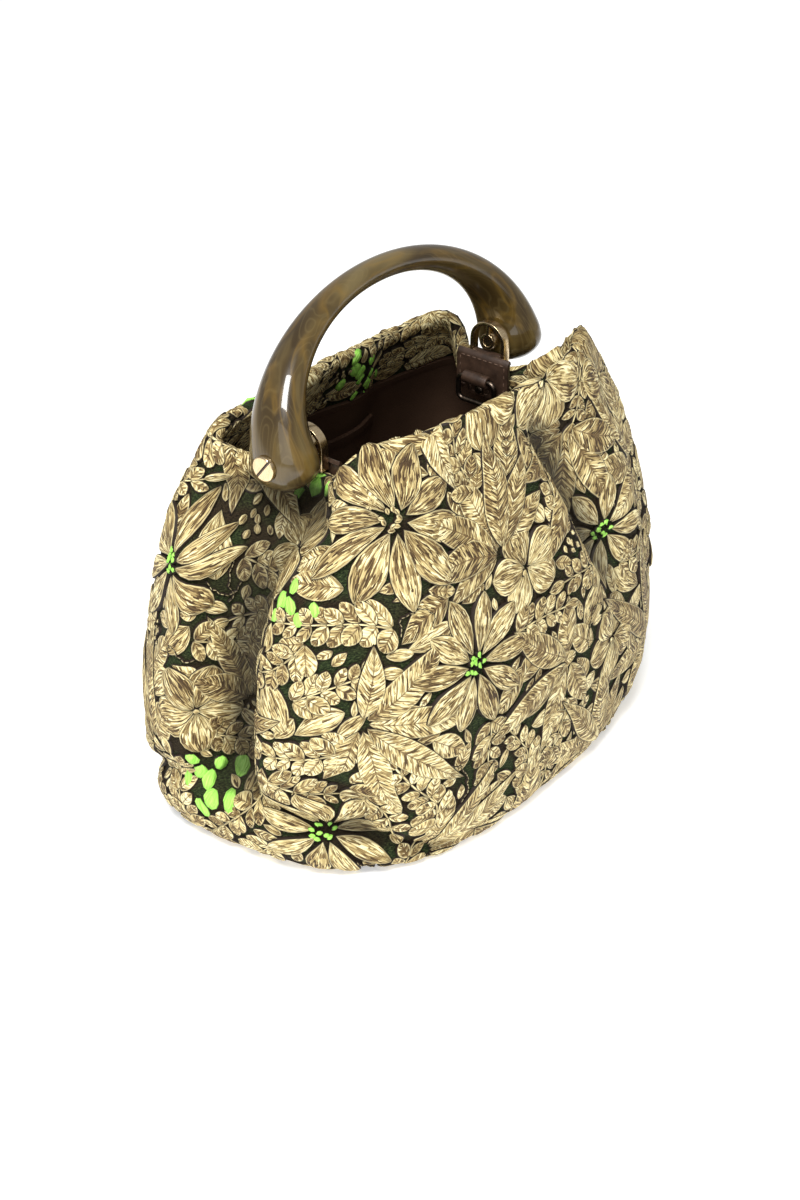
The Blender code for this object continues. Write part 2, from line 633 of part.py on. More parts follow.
def rivet_bore(piece, side, parent):
    """A hidden cylinder where the rivet's shank passes."""
    ends = sorted((side * (STRAP_TAIL_X - LEATHER), side * (FACE_X + 2.0 * LEATHER)))
    bore = cylinder_cutter(f"{piece.name}_bore", RIVET_SHANK / 2 + GAP, ends[0], ends[1], parent)
    bore.location = (0.0, 0.0, PIN_HEIGHT - RIVET_DROP)
    return bore


def turned(name, profile, side):
    """A solid turned about X from outward distance and radius, its ends flat."""
    bm = bmesh.new()
    rows = []
    for x, radius in profile:
        ring = []
        for step in range(ROUND_SEGMENTS):
            angle = 2.0 * math.pi * step / ROUND_SEGMENTS
            ring.append(bm.verts.new((side * x, radius * math.cos(angle), radius * math.sin(angle))))
        rows.append(ring)
    grid_faces(bm, rows, closed=True)
    bm.faces.new(rows[0])
    bm.faces.new(rows[-1])
    return mesh_from(bm, name)


def make_rivet(side, look, parent):
    """The small domed rivet through the strap tab and the handle tab's face."""
    name = f"strap_rivet_{SIDE_NAMES[side]}"
    seat = STRAP_TAIL_X - LOOP_LEATHER / 2 - GAP
    head = RIVET_DIAMETER / 2
    end = FACE_X + LEATHER / 2 - GAP
    profile = [(end, RIVET_SHANK / 2), (seat, RIVET_SHANK / 2), (seat, head),
               (seat - RIVET_HEIGHT * 0.5, head * 0.9), (seat - RIVET_HEIGHT, head * 0.45)]
    rivet = add_object(name, turned(name, profile, side), look, parent)
    rivet.location = (0.0, 0.0, PIN_HEIGHT - RIVET_DROP)
    return rivet


def make_strap_ring(side, look, parent):
    """The oval wire ring, its origin on the middle of its top bar."""
    name = f"strap_ring_{SIDE_NAMES[side]}"
    half_width = (STRAP_RING_WIDTH - STRAP_RING_WIRE) / 2
    height = STRAP_RING_HEIGHT - STRAP_RING_WIRE
    bend = STRAP_RING_CORNER
    across = half_width - bend
    line = arc(across, -bend, bend, 90.0, 0.0, 4) + arc(across, bend - height, bend, 0.0, -90.0, 4)
    line += arc(-across, bend - height, bend, 270.0, 180.0, 4) + arc(-across, -bend, bend, 180.0, 90.0, 4)
    bm = bmesh.new()
    rows = []
    count = len(line)
    for index, (y, z) in enumerate(line):
        before = Vector((0.0, *line[index - 1]))
        after = Vector((0.0, *line[(index + 1) % count]))
        out = (after - before).normalized().cross(Vector((1.0, 0.0, 0.0)))
        ring = []
        for step in range(WIRE_SIDES):
            angle = 2.0 * math.pi * (step + 0.5) / WIRE_SIDES
            offset = out * math.cos(angle) + Vector((1.0, 0.0, 0.0)) * math.sin(angle)
            ring.append(bm.verts.new(Vector((0.0, y, z)) + offset * STRAP_RING_WIRE / 2))
        rows.append(ring)
    grid_faces(bm, rows + [rows[0]], closed=True)
    ring = add_object(name, mesh_from(bm, name), look, parent, 60.0)
    ring.location = (side * STRAP_BAR_X, 0.0, PIN_HEIGHT - STRAP_BAR_DROP)
    return ring


def main():
    """Clear the scene and build every piece."""
    for old in list(bpy.data.objects):
        bpy.data.objects.remove(old, do_unlink=True)
    brocade = material("brocade", (0.48, 0.38, 0.21), 0.85)
    cloth = material("lining_cloth", (0.020, 0.014, 0.010), 0.7)
    resin = material("resin", (0.115, 0.080, 0.035), 0.12)
    gold = material("gold", (0.83, 0.66, 0.40), 0.25, 1.0)
    leather = material("leather", (0.070, 0.036, 0.023), 0.5)
    dark_metal = material("antique_metal", (0.16, 0.12, 0.09), 0.4, 1.0)
    bag = bpy.data.objects.new("bag", None)
    bpy.context.scene.collection.objects.link(bag)
    bag.location = (0.0, SEAM_Y, 0.0)
    half = column_angles()
    make_panel("front_panel", half, -1, brocade, bag)
    make_panel("back_panel", half + math.pi, 1, brocade, bag)
    whole = np.concatenate([half, (half + math.pi)[1:-1]])
    make_lining(whole, cloth, bag)
    make_pocket(whole, cloth, bag)
    make_handle(resin, bag)
    for side in (-1, 1):
        make_screw(side, gold, bag)
        make_ring(side, gold, bag)
        make_handle_tab(side, leather, bag)
        make_strap_tab(side, leather, bag)
        make_strap_ring(side, dark_metal, bag)
        make_rivet(side, dark_metal, bag)


main()
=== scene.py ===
"""The looks of a small gathered pouch of raised brocade with a marbled resin arch handle.

The cloth is laid out flat, motif by motif, and then wrapped on the bag's own body shape, which
body_point gives for any place round the bag and any height, as in the part's source.
"""
import math

import bmesh
import bpy
import numpy as np
from mathutils import Matrix, Vector

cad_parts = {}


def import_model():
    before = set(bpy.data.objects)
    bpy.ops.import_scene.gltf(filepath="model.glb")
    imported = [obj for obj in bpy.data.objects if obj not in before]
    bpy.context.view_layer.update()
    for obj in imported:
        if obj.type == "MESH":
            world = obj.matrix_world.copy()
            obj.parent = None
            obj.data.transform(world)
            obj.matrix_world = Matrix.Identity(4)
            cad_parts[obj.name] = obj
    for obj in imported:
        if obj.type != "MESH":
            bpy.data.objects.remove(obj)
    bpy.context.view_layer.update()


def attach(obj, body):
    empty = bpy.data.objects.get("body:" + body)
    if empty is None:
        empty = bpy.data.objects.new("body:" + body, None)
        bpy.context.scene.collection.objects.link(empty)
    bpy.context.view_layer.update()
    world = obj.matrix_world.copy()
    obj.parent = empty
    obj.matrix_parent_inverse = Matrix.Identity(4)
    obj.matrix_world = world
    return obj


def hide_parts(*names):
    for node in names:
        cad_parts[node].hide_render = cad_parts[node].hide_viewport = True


# Handle and hardware, in metres
PIN_SPAN = 0.150
PIN_HEIGHT = 0.170
HANDLE_RISE = 0.051
HANDLE_LEAN = 17.7
HANDLE_TOP_WIDTH = 0.0132
HANDLE_LEG_WIDTH = 0.030
HANDLE_THICKNESS = 0.76
HANDLE_TAPER = 1.15
LEG_DROP = 0.013
TIP_ROUND = 0.010
ARCH_SQUARENESS = 1.02
SCREW_HEAD_DIAMETER = 0.0105
SCREW_HEAD_HEIGHT = 0.0020
SCREW_SHANK_DIAMETER = 0.0036
SLOT_WIDTH = 0.0011
SLOT_DEPTH = 0.0009
SLOT_TURN = 38.0
HEAD_SEAT_DEPTH = 0.0009
RING_DROP = 0.0078
RING_BAND = 0.0042
RING_BAR = 0.0022
LEATHER = 0.0017
LOOP_LEATHER = 0.0013
LOOP_JOIN = 0.0005
TAB_WIDTH = 0.027
TAB_LENGTH = 0.0152
STRAP_RING_WIDTH = 0.0215
STRAP_RING_HEIGHT = 0.0135
STRAP_RING_WIRE = 0.0024
STRAP_RING_CORNER = 0.0030
STRAP_BAR_DROP = 0.015
STRAP_TAB_WIDTH = 0.0125
STRAP_TAB_LENGTH = 0.0085
RIVET_DROP = 0.0210
RIVET_DIAMETER = 0.0044
RIVET_SHANK = 0.0018
RIVET_HEIGHT = 0.0009

# Body of the bag, in metres
BASE_OVERHANG = 0.034
BASE_FRONT = 0.078
BASE_BACK = 0.070
BELLY_OVERHANG = 0.043
BELLY_FRONT = 0.083
BELLY_BACK = 0.073
BELLY_HEIGHT = 0.062
MOUTH_OVERHANG = 0.016
MOUTH_FRONT = 0.058
MOUTH_BACK = 0.036
MOUTH_HEIGHT = 0.182
BASE_ROUND = 0.009
CORNER_POWER = 3.0
BODY_SKEW = -0.11
BODY_SHIFT = -0.003
RIM_FRONT = 0.184
RIM_BACK = 0.171
RIM_TILT = -0.035
WELL_HALF_WIDTH = 0.029
EARS = ((58, 14, 0.003, -0.003), (73, 7, 0.004, 0.0), (110, 14, 0.007, 0.002), (-112, 17, 0.003, 0.007))
PLEAT_LOW_X = 0.018
PLEAT_HALF_WIDTH = 0.013
PLEAT_FOOT = 0.030
WELL_FOOT = 0.151
TUCK_HEIGHT = 0.036
TUCK_DEPTH = 0.006
TUCK_HALF_WIDTH = 0.007
GATHERS = (                # angle and height of the top and the foot, depth, half widths left and right
    (8, 0.170, 30, 0.080, 0.0125, 0.010, 0.018),
    (-66, 0.055, -60, 0.012, 0.0060, 0.014, 0.012),
    (-38, 0.176, -33, 0.090, 0.0035, 0.010, 0.013),
    (52, 0.172, 49, 0.060, 0.0040, 0.012, 0.012),
    (150, 0.170, 143, 0.070, 0.0045, 0.010, 0.014),
    (205, 0.170, 213, 0.060, 0.0045, 0.014, 0.010),
    (252, 0.160, 246, 0.070, 0.0035, 0.011, 0.011),
    (-63, 0.160, -60, 0.060, 0.0030, 0.011, 0.011),
)
WALL = 0.0030
FACING = 0.0022
FACING_DEPTH = 0.026
LINING = 0.0012
POCKET_THICKNESS = 0.0010
POCKET_ANGLES = (152, 212)
POCKET_HEIGHTS = (0.045, 0.125)
GAP = 0.0003
LAYER_GAP = 0.0008
END_SINES = (0.5, 0.8)

SIDE_NAMES = {-1: "left", 1: "right"}
SEAM_Y = (BASE_FRONT - BASE_BACK) / 2
LEG_HALF_DEPTH = HANDLE_LEG_WIDTH * HANDLE_THICKNESS / 2
LEG_INNER_X = PIN_SPAN / 2 - LEG_HALF_DEPTH
WELL_X = LEG_INNER_X - 2 * GAP
LOOP_OUTER = RING_BAR / 2 * math.sqrt(2.0) + GAP + LOOP_LEATHER
WELL_HEIGHT = PIN_HEIGHT - RING_DROP - LOOP_OUTER - GAP - (WALL + FACING) / 2
RING_INNER_X = LEG_INNER_X - 2 * GAP - RING_BAND
FACE_X = RING_INNER_X + RING_BAR / 2 - LOOP_OUTER - LEATHER / 2 + LOOP_JOIN
STRAP_TAIL_X = FACE_X - LEATHER / 2 - GAP - LOOP_LEATHER / 2
STRAP_BAR_X = STRAP_TAIL_X - LOOP_LEATHER - STRAP_RING_WIRE / 2 - GAP + LOOP_JOIN - LOOP_LEATHER / 2

# Brocade, in metres
GROUND_SINK = 0.0007       # the ground weave lies this far under the body shape
RELIEF = 0.0014            # height of the raised parts over the ground
CRUMPLE = 0.0003           # height of each of the cloth's soft dents
SHELL_COLUMNS = 1440
BASE_ROWS = 18
WALL_ROWS = 230
ARC_ROWS = 9
FACING_ROWS = 26
SEED = 5

# Lining and stitches, in metres
LINING_COLUMNS = 360
LINING_FOLD = 0.0014       # depth of its soft folds
HEM = 0.0045               # width of its turned top edge
STITCH_LENGTH = 0.0021
STITCH_GAP = 0.0008
STITCH_RADIUS = 0.00028
STITCH_INSET = 0.0019      # from the leather's edge


# The body shape

def smooth(value, low, high):
    """0 below low, 1 above high, and an even step between."""
    share = np.clip((value - low) / (high - low), 0.0, 1.0)
    return share * share * (3.0 - 2.0 * share)


def level(height, base, belly, mouth):
    """A body size at a height, from its values at the base, belly and mouth."""
    low = np.clip(1.0 - height / BELLY_HEIGHT, 0.0, 1.0)
    high = np.clip((height - BELLY_HEIGHT) / (MOUTH_HEIGHT - BELLY_HEIGHT), 0.0, None)
    return belly - (belly - base) * low ** 3 - (belly - mouth) * high ** 2


def edge_inset(height):
    """How far the round edge of the underside is set in at a height."""
    rise = np.clip(1.0 - height / BASE_ROUND, 0.0, 1.0)
    return BASE_ROUND * (1.0 - np.sqrt(np.clip(1.0 - rise * rise, 0.0, 1.0)))


def ear_weight(angle, middle, half_angle):
    """1 at the middle of an ear, fading out over its half angle, in degrees."""
    turn = (np.degrees(angle) - middle + 180.0) % 360.0 - 180.0
    return np.exp(-((turn / half_angle) ** 2))


def plan_point(angle, height):
    """Outer x and y at an angle round the bag (0 front, 90 right end) and a height."""
    sine = np.sin(angle)
    cosine = np.cos(angle)
    inset = edge_inset(height)
    length = PIN_SPAN / 2 + level(height, BASE_OVERHANG, BELLY_OVERHANG, MOUTH_OVERHANG) - inset
    front = level(height, BASE_FRONT, BELLY_FRONT, MOUTH_FRONT) - inset
    back = level(height, BASE_BACK, BELLY_BACK, MOUTH_BACK) - inset
    depth = np.where(cosine > 0.0, front, back)
    power = CORNER_POWER
    radius = (np.abs(sine / length) ** power + np.abs(cosine / depth) ** power) ** (-1.0 / power)
    for middle, half_angle, _, flare in EARS:
        radius = radius + flare * ear_weight(angle, middle, half_angle) * smooth(height, 0.09, MOUTH_HEIGHT)
    for top_angle, top, foot_angle, foot, fold, left, right in GATHERS:
        share = np.clip((top - height) / (top - foot), 0.0, 1.0)
        middle = np.radians(top_angle + (foot_angle - top_angle) * share)
        turn = (angle - middle + np.pi) % (2.0 * np.pi) - np.pi
        fade = smooth(height, foot - 0.03, foot + 0.03) * (1.0 - smooth(height, top - 0.015, top + 0.012))
        half_width = np.where(turn < 0.0, left, right)
        radius = radius - fold * fade * np.exp(-((turn * radius / half_width) ** 2))
    x = radius * sine
    y = -radius * cosine
    pleat_top = np.clip(height / WELL_FOOT, 0.0, 1.0) ** 8
    low_x = PIN_SPAN / 2 + PLEAT_LOW_X
    floor_x = low_x - (low_x - WELL_X) * pleat_top
    pleat = np.clip(length - floor_x, 0.0, None) * smooth(height, PLEAT_FOOT - 0.012, PLEAT_FOOT + 0.018)
    half_width = PLEAT_HALF_WIDTH + (WELL_HALF_WIDTH - PLEAT_HALF_WIDTH) * pleat_top
    at_end = smooth(np.abs(sine), *END_SINES)
    x = x - np.sign(sine) * at_end * pleat * np.exp(-(np.abs(y) / half_width) ** 3)
    tuck_middle = TUCK_HEIGHT * (1.0 - (y / BELLY_FRONT) ** 2)
    tuck = TUCK_DEPTH * np.exp(-(((height - tuck_middle) / TUCK_HALF_WIDTH) ** 2))
    tuck = tuck * smooth(np.abs(sine), 0.45, 0.80) * smooth(height, 0.0, BASE_ROUND)
    x = x - tuck * sine
    y = y + tuck * cosine
    lower = 1.0 - np.clip(height / MOUTH_HEIGHT, 0.0, 1.0) ** 2
    return x + BODY_SKEW * y * lower + BODY_SHIFT * lower ** 3, y


def rim_height(angle):
    """Height of the rim round the bag: front, back, the wells and the ears."""
    x, y = plan_point(angle, np.full_like(angle, MOUTH_HEIGHT))
    front_share = 0.5 + 0.5 * np.clip(np.cos(angle) * 2.0, -1.0, 1.0)
    height = RIM_BACK + (RIM_FRONT - RIM_BACK) * front_share + RIM_TILT * x
    for middle, half_angle, lift, _ in EARS:
        height = height + lift * ear_weight(angle, middle, half_angle)
    dip = np.exp(-(np.abs(y) / WELL_HALF_WIDTH) ** 3) * smooth(np.abs(np.sin(angle)), *END_SINES)
    return height - (height - WELL_HEIGHT) * dip


def body_point(angle, share):
    """Outer surface: share 0 is the middle of the underside, 1 its edge, 2 the rim."""
    on_base = np.clip(share, 0.0, 1.0)
    rise = np.clip(share - 1.0, 0.0, 1.0)
    height = rise * rim_height(angle)
    x, y = plan_point(angle, height)
    return np.stack([x * on_base, y * on_base + SEAM_Y, height], axis=-1)


def inward(angle, share):
    """Unit normal of the outer surface, pointing into the bag."""
    step = 1e-3
    low = np.clip(share - step, 1e-6, 2.0)
    high = np.clip(share + step, 1e-6, 2.0)
    along = body_point(angle, high) - body_point(angle, low)
    around = body_point(angle + step, share) - body_point(angle - step, share)
    normal = np.cross(along, around)
    return normal / np.linalg.norm(normal, axis=-1, keepdims=True)


def layer_points(angles, share, depth):
    """One row of points at a share of the profile, set in by depth."""
    share = np.broadcast_to(share, angles.shape).astype(float)
    return body_point(angles, share) + inward(angles, share) * depth


def facing_share(angles):
    """Share of the profile at the facing's lower edge."""
    return 2.0 - FACING_DEPTH / rim_height(angles)


# The cloth's shell: a fine grid over the underside, wall, rim and facing

def shell_rows(angles, base, wall, arc_steps, facing):
    """Rows of points from near the middle of the underside, up the wall and over the rim to the facing."""
    thick = WALL + FACING
    rows = [layer_points(angles, share, 0.0) for share in base]
    rows += [layer_points(angles, share, 0.0) for share in wall]
    rim = rows[-1]
    into = inward(angles, np.full_like(angles, 2.0))
    up = rim - layer_points(angles, 1.985, 0.0)
    up = up / np.linalg.norm(up, axis=-1, keepdims=True)
    for step in range(1, arc_steps):
        turn = math.pi * step / arc_steps
        middle = rim + into * thick / 2
        rows.append(middle + (up * math.sin(turn) - into * math.cos(turn)) * thick / 2)
    edge = facing_share(angles)
    for part in np.linspace(0.0, 1.0, facing):
        rows.append(layer_points(angles, 2.0 + (edge - 2.0) * part, thick))
    return np.array(rows)


def wall_shares(count):
    """Shares from the underside's edge to the rim, closer together on the round edge."""
    even = np.linspace(0.0, 1.0, count)
    return 1.0 + even ** 1.25


def even_spacing(rows, columns):
    """Rows of points respaced to even steps along each row."""
    spaced = np.empty((len(rows), columns, 3))
    for index, row in enumerate(rows):
        steps = np.linalg.norm(np.diff(row, axis=0), axis=-1)
        along = np.concatenate([[0.0], np.cumsum(steps)])
        wanted = np.linspace(0.0, along[-1], columns)
        for axis in range(3):
            spaced[index, :, axis] = np.interp(wanted, along, row[:, axis])
    return spaced


class Shell:
    """The cloth's outer face as a grid that any flat place can be looked up in.

    Its columns run from the left seam over the front to the right seam and over the back again,
    in even steps along each row, so that a turn in radians stands for a share of the girth.
    """

    def __init__(self):
        half = SHELL_COLUMNS // 2
        fine = np.linspace(-math.pi / 2, math.pi / 2, SHELL_COLUMNS + 1)
        halves = []
        base = np.linspace(0.45, 0.99, BASE_ROWS)
        self.shares = np.concatenate([base, wall_shares(WALL_ROWS)])
        for first in (0.0, math.pi):
            rows = shell_rows(fine + first, base, wall_shares(WALL_ROWS), ARC_ROWS + 1, FACING_ROWS)
            halves.append(even_spacing(rows, half + 1))
        self.points = np.concatenate([halves[0], halves[1][:, 1:]], axis=1)
        steps = np.linalg.norm(np.diff(self.points, axis=0), axis=-1).mean(axis=1)
        self.length = np.concatenate([[0.0], np.cumsum(steps)])
        self.normals = self.face_normals()
        self.crumple()
        self.normals = self.face_normals()
        self.hollow = self.hollows()

    def crumple(self):
        """Soft dents and bulges, fading out at the underside and at the handle's legs."""
        turn = np.linspace(0.0, 2.0 * math.pi, SHELL_COLUMNS + 1)
        dice = np.random.default_rng(SEED + 1)
        dent = np.zeros(self.points.shape[:2])
        for _ in range(26):
            around = int(dice.integers(3, 15))
            up = dice.uniform(-45.0, 45.0)
            size = CRUMPLE / (1.0 + 0.12 * around)
            phase = dice.uniform(0.0, 2.0 * math.pi)
            dent += size * np.sin(around * turn[None, :] + up * self.length[:, None] + phase)
        x, z = self.points[..., 0], self.points[..., 2]
        quiet = 1.0 - smooth(z, 0.125, 0.160) * smooth(np.abs(x), 0.035, 0.055)
        dent *= quiet * smooth(z, 0.004, 0.030)
        shift = self.normals * dent[..., None]
        rim = BASE_ROWS + WALL_ROWS - 1
        shift[rim + 1:rim + 1 + ARC_ROWS] = shift[rim]
        shift[rim + 1 + ARC_ROWS:] = shift[rim - FACING_ROWS + 1:rim + 1][::-1]
        self.points = self.points + shift

    def hollows(self, around=58, up=30):
        """How deep each place lies under the cloth round it, in mm: most in the folds. The cloth's colours are
        darkened by it as painted shade.
        """
        rim = BASE_ROWS + WALL_ROWS
        grid = np.pad(self.points[:rim], ((up, up), (0, 0), (0, 0)), mode="reflect", reflect_type="odd")
        grid = np.concatenate([grid[:, -around - 1:-1], grid, grid[:, 1:around + 1]], axis=1)
        for axis, reach in ((0, up), (1, around)):
            grid = np.swapaxes(grid, 0, axis)
            total = np.concatenate([np.zeros_like(grid[:1]), np.cumsum(grid, axis=0)])
            grid = np.swapaxes((total[2 * reach + 1:] - total[:-2 * reach - 1]) / (2 * reach + 1), 0, axis)
        deep = np.zeros(self.points.shape[:2] + (1,))
        deep[:rim, :, 0] = ((grid - self.points[:rim]) * self.normals[:rim]).sum(axis=-1) * 1000.0
        return deep

    def under(self, columns, share, depth):
        """Points under the cloth in some columns, at shares of the profile and set in by a depth."""
        row = np.interp(share, self.shares, np.arange(len(self.shares)))
        low = np.minimum(row.astype(int), len(self.shares) - 2)
        part = (row - low)[:, None]
        point = self.points[low, columns] * (1.0 - part) + self.points[low + 1, columns] * part
        normal = self.normals[low, columns] * (1.0 - part) + self.normals[low + 1, columns] * part
        return point - normal * np.reshape(depth, (-1, 1))

    def face_normals(self):
        """Outward normals from the grid's own slopes."""
        padded = np.concatenate([self.points[:, -2:-1], self.points, self.points[:, 1:2]], axis=1)
        around = padded[:, 2:] - padded[:, :-2]
        up = np.gradient(self.points, axis=0)
        normal = np.cross(around, up)
        return normal / np.maximum(np.linalg.norm(normal, axis=-1, keepdims=True), 1e-12)

    def read(self, grid, angle, length):
        """A grid's values at turns round the bag from the left seam and lengths up the cloth."""
        column = (np.asarray(angle) / (2.0 * math.pi)) % 1.0 * SHELL_COLUMNS
        row = np.interp(length, self.length, np.arange(len(self.length)))
        c0 = np.minimum(column.astype(int), SHELL_COLUMNS - 1)
        r0 = np.minimum(row.astype(int), len(self.length) - 2)
        cf = (column - c0)[..., None]
        rf = (row - r0)[..., None]
        low = grid[r0, c0] * (1 - cf) + grid[r0, c0 + 1] * cf
        high = grid[r0 + 1, c0] * (1 - cf) + grid[r0 + 1, c0 + 1] * cf
        return low * (1 - rf) + high * rf

    def look(self, angle, length):
        """Points and normals there."""
        return [self.read(grid, angle, length) for grid in (self.points, self.normals)]

    def measure(self, angle, length, reach=0.006):
        """How angle and length change per metre along and up the cloth, as a 2 by 2 matrix."""
        steps = np.linspace(-reach, reach, 13)
        around = self.look(angle + steps / 0.09, np.full(13, length))[0]
        upward = self.look(np.full(13, angle), length + steps)[0]
        across = around[7] - around[5]
        up = upward[7] - upward[5]
        wide = np.linalg.norm(np.diff(around, axis=0), axis=-1).sum() / (2 * reach / 0.09)
        tall = max(np.linalg.norm(np.diff(upward, axis=0), axis=-1).sum() / (2 * reach), 0.5)
        lean = across @ up / (np.linalg.norm(across) * np.linalg.norm(up) + 1e-12)
        lean = float(np.clip(lean, -0.6, 0.6))
        return np.linalg.inv(np.array([[wide, tall * lean], [0.0, tall * math.sqrt(1.0 - lean * lean)]]))


# Motifs, laid out flat round their own middles. A part is its shape, x, y, turn, length, half width,
# height, 1 if it is green, and 1 if its threads slant from its midrib.

LANCE, LANCE_LEFT, LANCE_RIGHT, PETAL, OVAL, BROAD, PEBBLE, STEM = range(8)
OUTLINES = {
    LANCE: (0.80, 0.90, 0.0, 13),
    LANCE_LEFT: (0.80, 0.90, 0.9, 13),
    LANCE_RIGHT: (0.80, 0.90, -0.9, 13),
    PETAL: (1.25, 0.72, 0.0, 11),
    OVAL: (1.00, 0.55, 0.0, 8),
    BROAD: (1.45, 0.55, 0.0, 11),
    PEBBLE: (1.00, 0.50, 0.0, 5),
    STEM: (1.00, 0.12, 0.0, 4),
}
ACROSS = (-1.04, -1.00, -0.90, -0.62, -0.25, 0.0, 0.25, 0.62, 0.90, 1.00, 1.04)
DOME = (-0.30, 0.70, 0.78, 0.95, 1.00, 0.91, 1.00, 0.95, 0.78, 0.70, -0.30)
PEBBLE_ACROSS = (-1.04, -0.86, 0.0, 0.86, 1.04)
PEBBLE_DOME = (-0.30, 0.60, 1.0, 0.60, -0.30)


def leaf_mesh(shape):
    """One raised leaf of length 1 along X and half width 1, with its place on it as an attribute."""
    early, blunt, bend, steps = OUTLINES[shape]
    small = shape in (PEBBLE, STEM)
    across = PEBBLE_ACROSS if small else ACROSS
    dome = PEBBLE_DOME if small else DOME
    bm = bmesh.new()
    places = []
    rows = []
    for step in range(steps + 1):
        along = 0.5 - 0.5 * math.cos(math.pi * step / steps)
        wide = max(math.sin(math.pi * min(along, 1.0) ** early), 0.0) ** blunt
        lift = min(wide * 1.6, 1.0) ** 0.7
        row = []
        for part, rise in zip(across, dome):
            height = rise * (0.45 + 0.55 * lift) if rise > 0 and 0 < step < steps else min(rise, -0.2)
            row.append(bm.verts.new((along, part * wide * 0.999 + bend * along ** 2, height)))
            places.append((along, part, 0.0))
        rows.append(row)
    for low, high in zip(rows[:-1], rows[1:]):
        for index in range(len(across) - 1):
            bm.faces.new((low[index], high[index], high[index + 1], low[index + 1]))
    mesh = bpy.data.meshes.new(f"leaf_{shape}")
    bm.to_mesh(mesh)
    bm.free()
    mesh.shade_smooth()
    layer = mesh.attributes.new("leaf", "FLOAT_VECTOR", "POINT")
    layer.data.foreach_set("vector", np.array(places, dtype=np.float32).ravel())
    return mesh


def ray(angle, start):
    """Place at a distance from a motif's middle, towards an angle in degrees."""
    turn = math.radians(angle)
    return start * math.cos(turn), start * math.sin(turn)


def level_of(index, lowest, steps=3):
    """Height of one part of a motif, so that neighbours lie one over the other."""
    return lowest + 0.36 * (index % steps)


def rosette(dice):
    """A wide flower of pointed petals with a beaded middle."""
    parts = []
    count = int(dice.integers(8, 11))
    first = dice.uniform(0, 360)
    size = dice.uniform(0.80, 1.10)
    for index in range(count):
        angle = first + 360.0 * index / count + dice.uniform(-4, 4)
        x, y = ray(angle, 0.0040)
        long = dice.uniform(0.0260, 0.0310) * size
        half = dice.uniform(0.0054, 0.0066) * size
        parts.append((PETAL, x, y, angle, long, half, level_of(index, 1.15, 3), 0, 0))
    green = int(dice.integers(2))
    for index in range(10):
        x, y = ray(index * 40.0, 0.0 if index == 0 else 0.0034)
        parts.append((PEBBLE, x - 0.0012, y, dice.uniform(0, 180), 0.0034, 0.0014, 1.8, green, 0))
    return parts


def palmette(dice):
    """Long pointed leaves that spread from one root."""
    parts = []
    count = int(dice.integers(5, 8))
    first = dice.uniform(0, 360)
    spread = dice.uniform(140, 190)
    for index in range(count):
        part = index / (count - 1)
        angle = first + spread * (part - 0.5)
        long = 0.030 + 0.024 * math.sin(math.pi * part) + dice.uniform(-0.003, 0.003)
        x, y = ray(angle, 0.003)
        shape = LANCE_RIGHT if part < 0.35 else LANCE_LEFT if part > 0.65 else LANCE
        parts.append((shape, x, y, angle, long, dice.uniform(0.0058, 0.0078), level_of(index, 0.95), 0, 1))
    return parts


def blossom(dice):
    """Five broad petals, one over the other."""
    parts = []
    first = dice.uniform(0, 360)
    size = dice.uniform(0.85, 1.15)
    for index in range(5):
        angle = first + 72.0 * index + dice.uniform(-6, 6)
        x, y = ray(angle, 0.0008)
        half = dice.uniform(0.0086, 0.0102) * size
        long = dice.uniform(0.0205, 0.0240) * size
        parts.append((BROAD, x, y, angle, long, half, level_of(index, 0.95), 0, 0))
    parts.append((PEBBLE, -0.0016, 0.0, first, 0.0036, 0.0014, 1.8, 0, 0))
    return parts


def laurel(dice):
    """A bent stem with paired oval leaves and one at its tip."""
    parts = []
    angle = dice.uniform(0, 360)
    bend = dice.uniform(-6, 6)
    pairs = int(dice.integers(5, 9))
    x, y = ray(angle, -0.0032 * pairs)
    for index in range(pairs):
        parts.append((STEM, x, y, angle, 0.0075, 0.0008, 0.95, 0, 0))
        size = 1.0 - 0.35 * index / pairs
        for side in (-1, 1):
            lean = angle + side * dice.uniform(40, 56)
            dx, dy = ray(lean, 0.0004)
            long = dice.uniform(0.0100, 0.0128) * size
            half = long * dice.uniform(0.31, 0.38)
            parts.append((OVAL, x + dx, y + dy, lean, long, half, level_of(index + (side > 0), 0.80, 2), 0, 1))
        dx, dy = ray(angle, 0.0062)
        x += dx
        y += dy
        angle += bend
    parts.append((OVAL, x, y, angle, 0.0100, 0.0031, 0.95, 0, 0))
    return parts


def berries(dice, green):
    """A cluster of ovals that lie beside each other."""
    parts = []
    size = dice.uniform(1.0, 1.8) if green else dice.uniform(0.6, 1.0)
    lean = dice.uniform(60, 120)
    for index in range(int(dice.integers(5, 10))):
        x, y = ray(index * 137.5, 0.0031 * size * math.sqrt(index))
        long = dice.uniform(0.0044, 0.0060) * size
        turn = lean + dice.uniform(-25, 25)
        dx, dy = ray(turn, -long / 2)
        parts.append((PEBBLE, x + dx, y + dy, turn, long, long * 0.36, 1.2, green, 0))
    return parts


def filigree(dice):
    """A wandering line of small stitches."""
    parts = []
    angle = dice.uniform(0, 360)
    x, y = ray(angle, -0.010)
    for _ in range(int(dice.integers(9, 17))):
        angle += dice.uniform(-62, 62)
        parts.append((PEBBLE, x, y, angle, 0.0026, 0.0006, 0.95, 0, 0))
        dx, dy = ray(angle, 0.0020)
        x += dx
        y += dy
    return parts


def single_leaf(dice, long, height):
    """One leaf that fills a gap."""
    shape = int(dice.choice([LANCE, LANCE_LEFT, LANCE_RIGHT, OVAL, PETAL]))
    turn = dice.uniform(0, 360)
    x, y = ray(turn, -long / 2)
    return [(shape, x, y, turn, long, long * dice.uniform(0.21, 0.31), height, 0, int(dice.integers(2)))]


